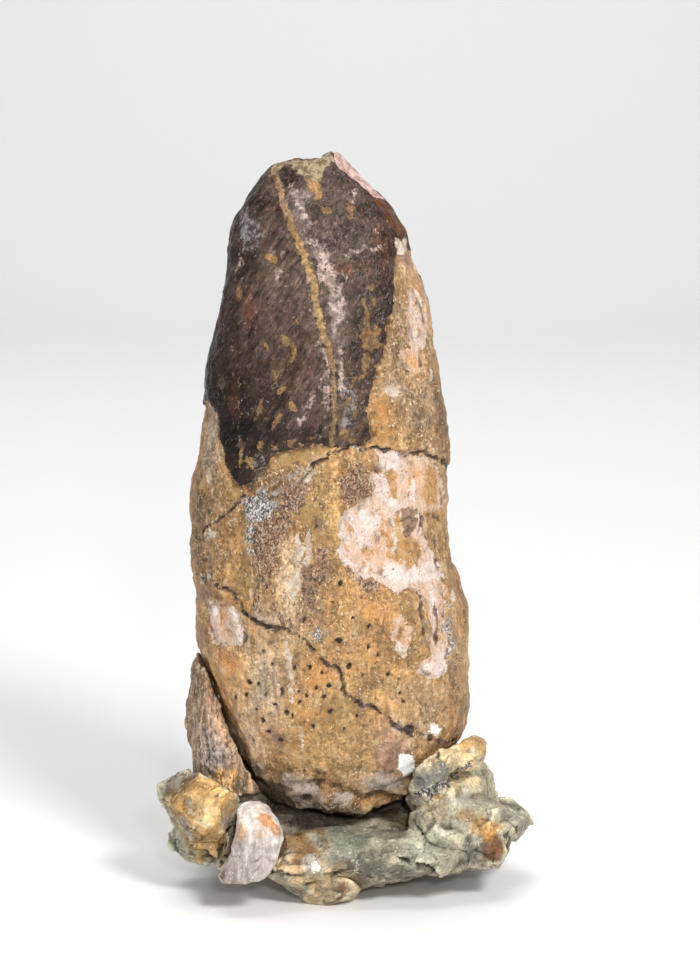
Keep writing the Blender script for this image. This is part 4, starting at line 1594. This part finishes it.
chip_copy = fine_copy("bone_chip", CHIP_GRAIN, 4)
chip = chip_copy[0]
grained = stretched(chip, CHIP_LEAN, 8.0)
chip_split = step(0.93, 1.0, creased(grained + 0.4 * rough(chip, 2.5, 2, 61)[:, None], 3.4, 1, 62))
chip_snap = step(0.88, 1.0, 1 - np.abs(chip[:, 2] - CHIP_SNAP - 0.7 * rough(chip, 2.2, 3, 66)) / 0.6)
chip_relief = 0.10 * rough(grained, 0.9, 2, 63) + 0.16 * rough(chip, 2.2, 3, 64) - 0.16 * chip_split
bone_chip = bone_piece(
    "chip_of_bone",
    "bone_chip",
    chip_copy,
    chip_relief - 0.22 * chip_snap,
    CHIP_BASE,
    CHIP_PATCHES,
    0.3 * rough(chip, 1.6, 3, 65),
    bone_finish("pinkish_white_bone", PALE_BONE, DARK_BONE, BONE_DIRT, 1.0),
)
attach(bone_chip, "root")
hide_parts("bone_chip")

# ---------------------------------------------------------------------------------------------------
# Root splinter: a tall flake of the root's wall that came away at the left and was cemented beside it.
# It is brown fibrous dentine with a cream stripe, and its foot is crusted with glittering grey grit.

SPLINTER_GRAIN = 0.17
SPLINTER_BASE = (0.40, 0.26, 0.15)
PALE_FIBRE, DARK_FIBRE, FIBRE_DIRT = (0.74, 0.58, 0.45), (0.15, 0.085, 0.048), (0.06, 0.04, 0.028)
SPLINTER_SUNK = 0.08

SPLINTER_PATCHES = [Patch(*row) for row in (
    ((0.25, 0.15, 0.08), 200, 694, 24), ((0.60, 0.45, 0.32), 196, 700, 4, 0.9),
    ((0.60, 0.45, 0.32), 195, 710, 4, 0.9), ((0.60, 0.34, 0.21), 208, 684, 4, 0.7),
    ((0.60, 0.34, 0.21), 209, 691, 4, 0.7), ((0.60, 0.34, 0.21), 209, 698, 4, 0.7),
    ((0.60, 0.34, 0.21), 210, 705, 4, 0.7), ((0.60, 0.34, 0.21), 211, 712, 4, 0.6),
    ((0.31, 0.235, 0.19), 206, 748, 26), ((0.24, 0.165, 0.115), 192, 724, 12, 0.8),
    ((0.34, 0.28, 0.25), 212, 760, 16, 0.8), ((0.70, 0.40, 0.13), 226, 784, 16, 0.9),
    ((0.70, 0.38, 0.22), 218, 720, 4, 0.9), ((0.70, 0.38, 0.22), 221, 726, 4, 0.9),
    ((0.70, 0.38, 0.22), 224, 733, 4, 0.8), ((0.70, 0.38, 0.22), 227, 740, 3, 0.7),
    ((0.10, 0.07, 0.05), 240, 786, 8, 0.8), ((0.22, 0.13, 0.07), 195, 672, 10, 0.7),
)]
GRIT_PATCHES = [Patch(MUD, 208, 748, 24), Patch(MUD, 214, 764, 20), Patch(MUD, 194, 752, 14)]

splinter_copy = fine_copy("root_splinter", SPLINTER_GRAIN, 4)
splinter = splinter_copy[0]
grained = stretched(splinter, UPWARD, 7.0)
gritted = depth_of_patches(splinter, solid_of("root_splinter"), GRIT_PATCHES)
crusted = np.clip(gritted / 1.2 + 0.5, 0, 1)
fibre_relief = 0.30 * rough(grained, 1.5, 3, 71) + 0.16 * rough(splinter, 1.4, 3, 72)
grit_relief = 0.34 * rough(splinter, 1.1, 3, 73) + 0.2 * rough(splinter, 3.0, 1, 74)
root_splinter = bone_piece(
    "splinter_of_root",
    "root_splinter",
    splinter_copy,
    fibre_relief * (1 - crusted) + grit_relief * crusted - SPLINTER_SUNK,
    SPLINTER_BASE,
    SPLINTER_PATCHES,
    0.3 * rough(splinter, 2.0, 3, 75),
    bone_finish("brown_fibrous_dentine", PALE_FIBRE, DARK_FIBRE, FIBRE_DIRT, 1.9),
)
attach(root_splinter, "root")
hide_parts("root_splinter")
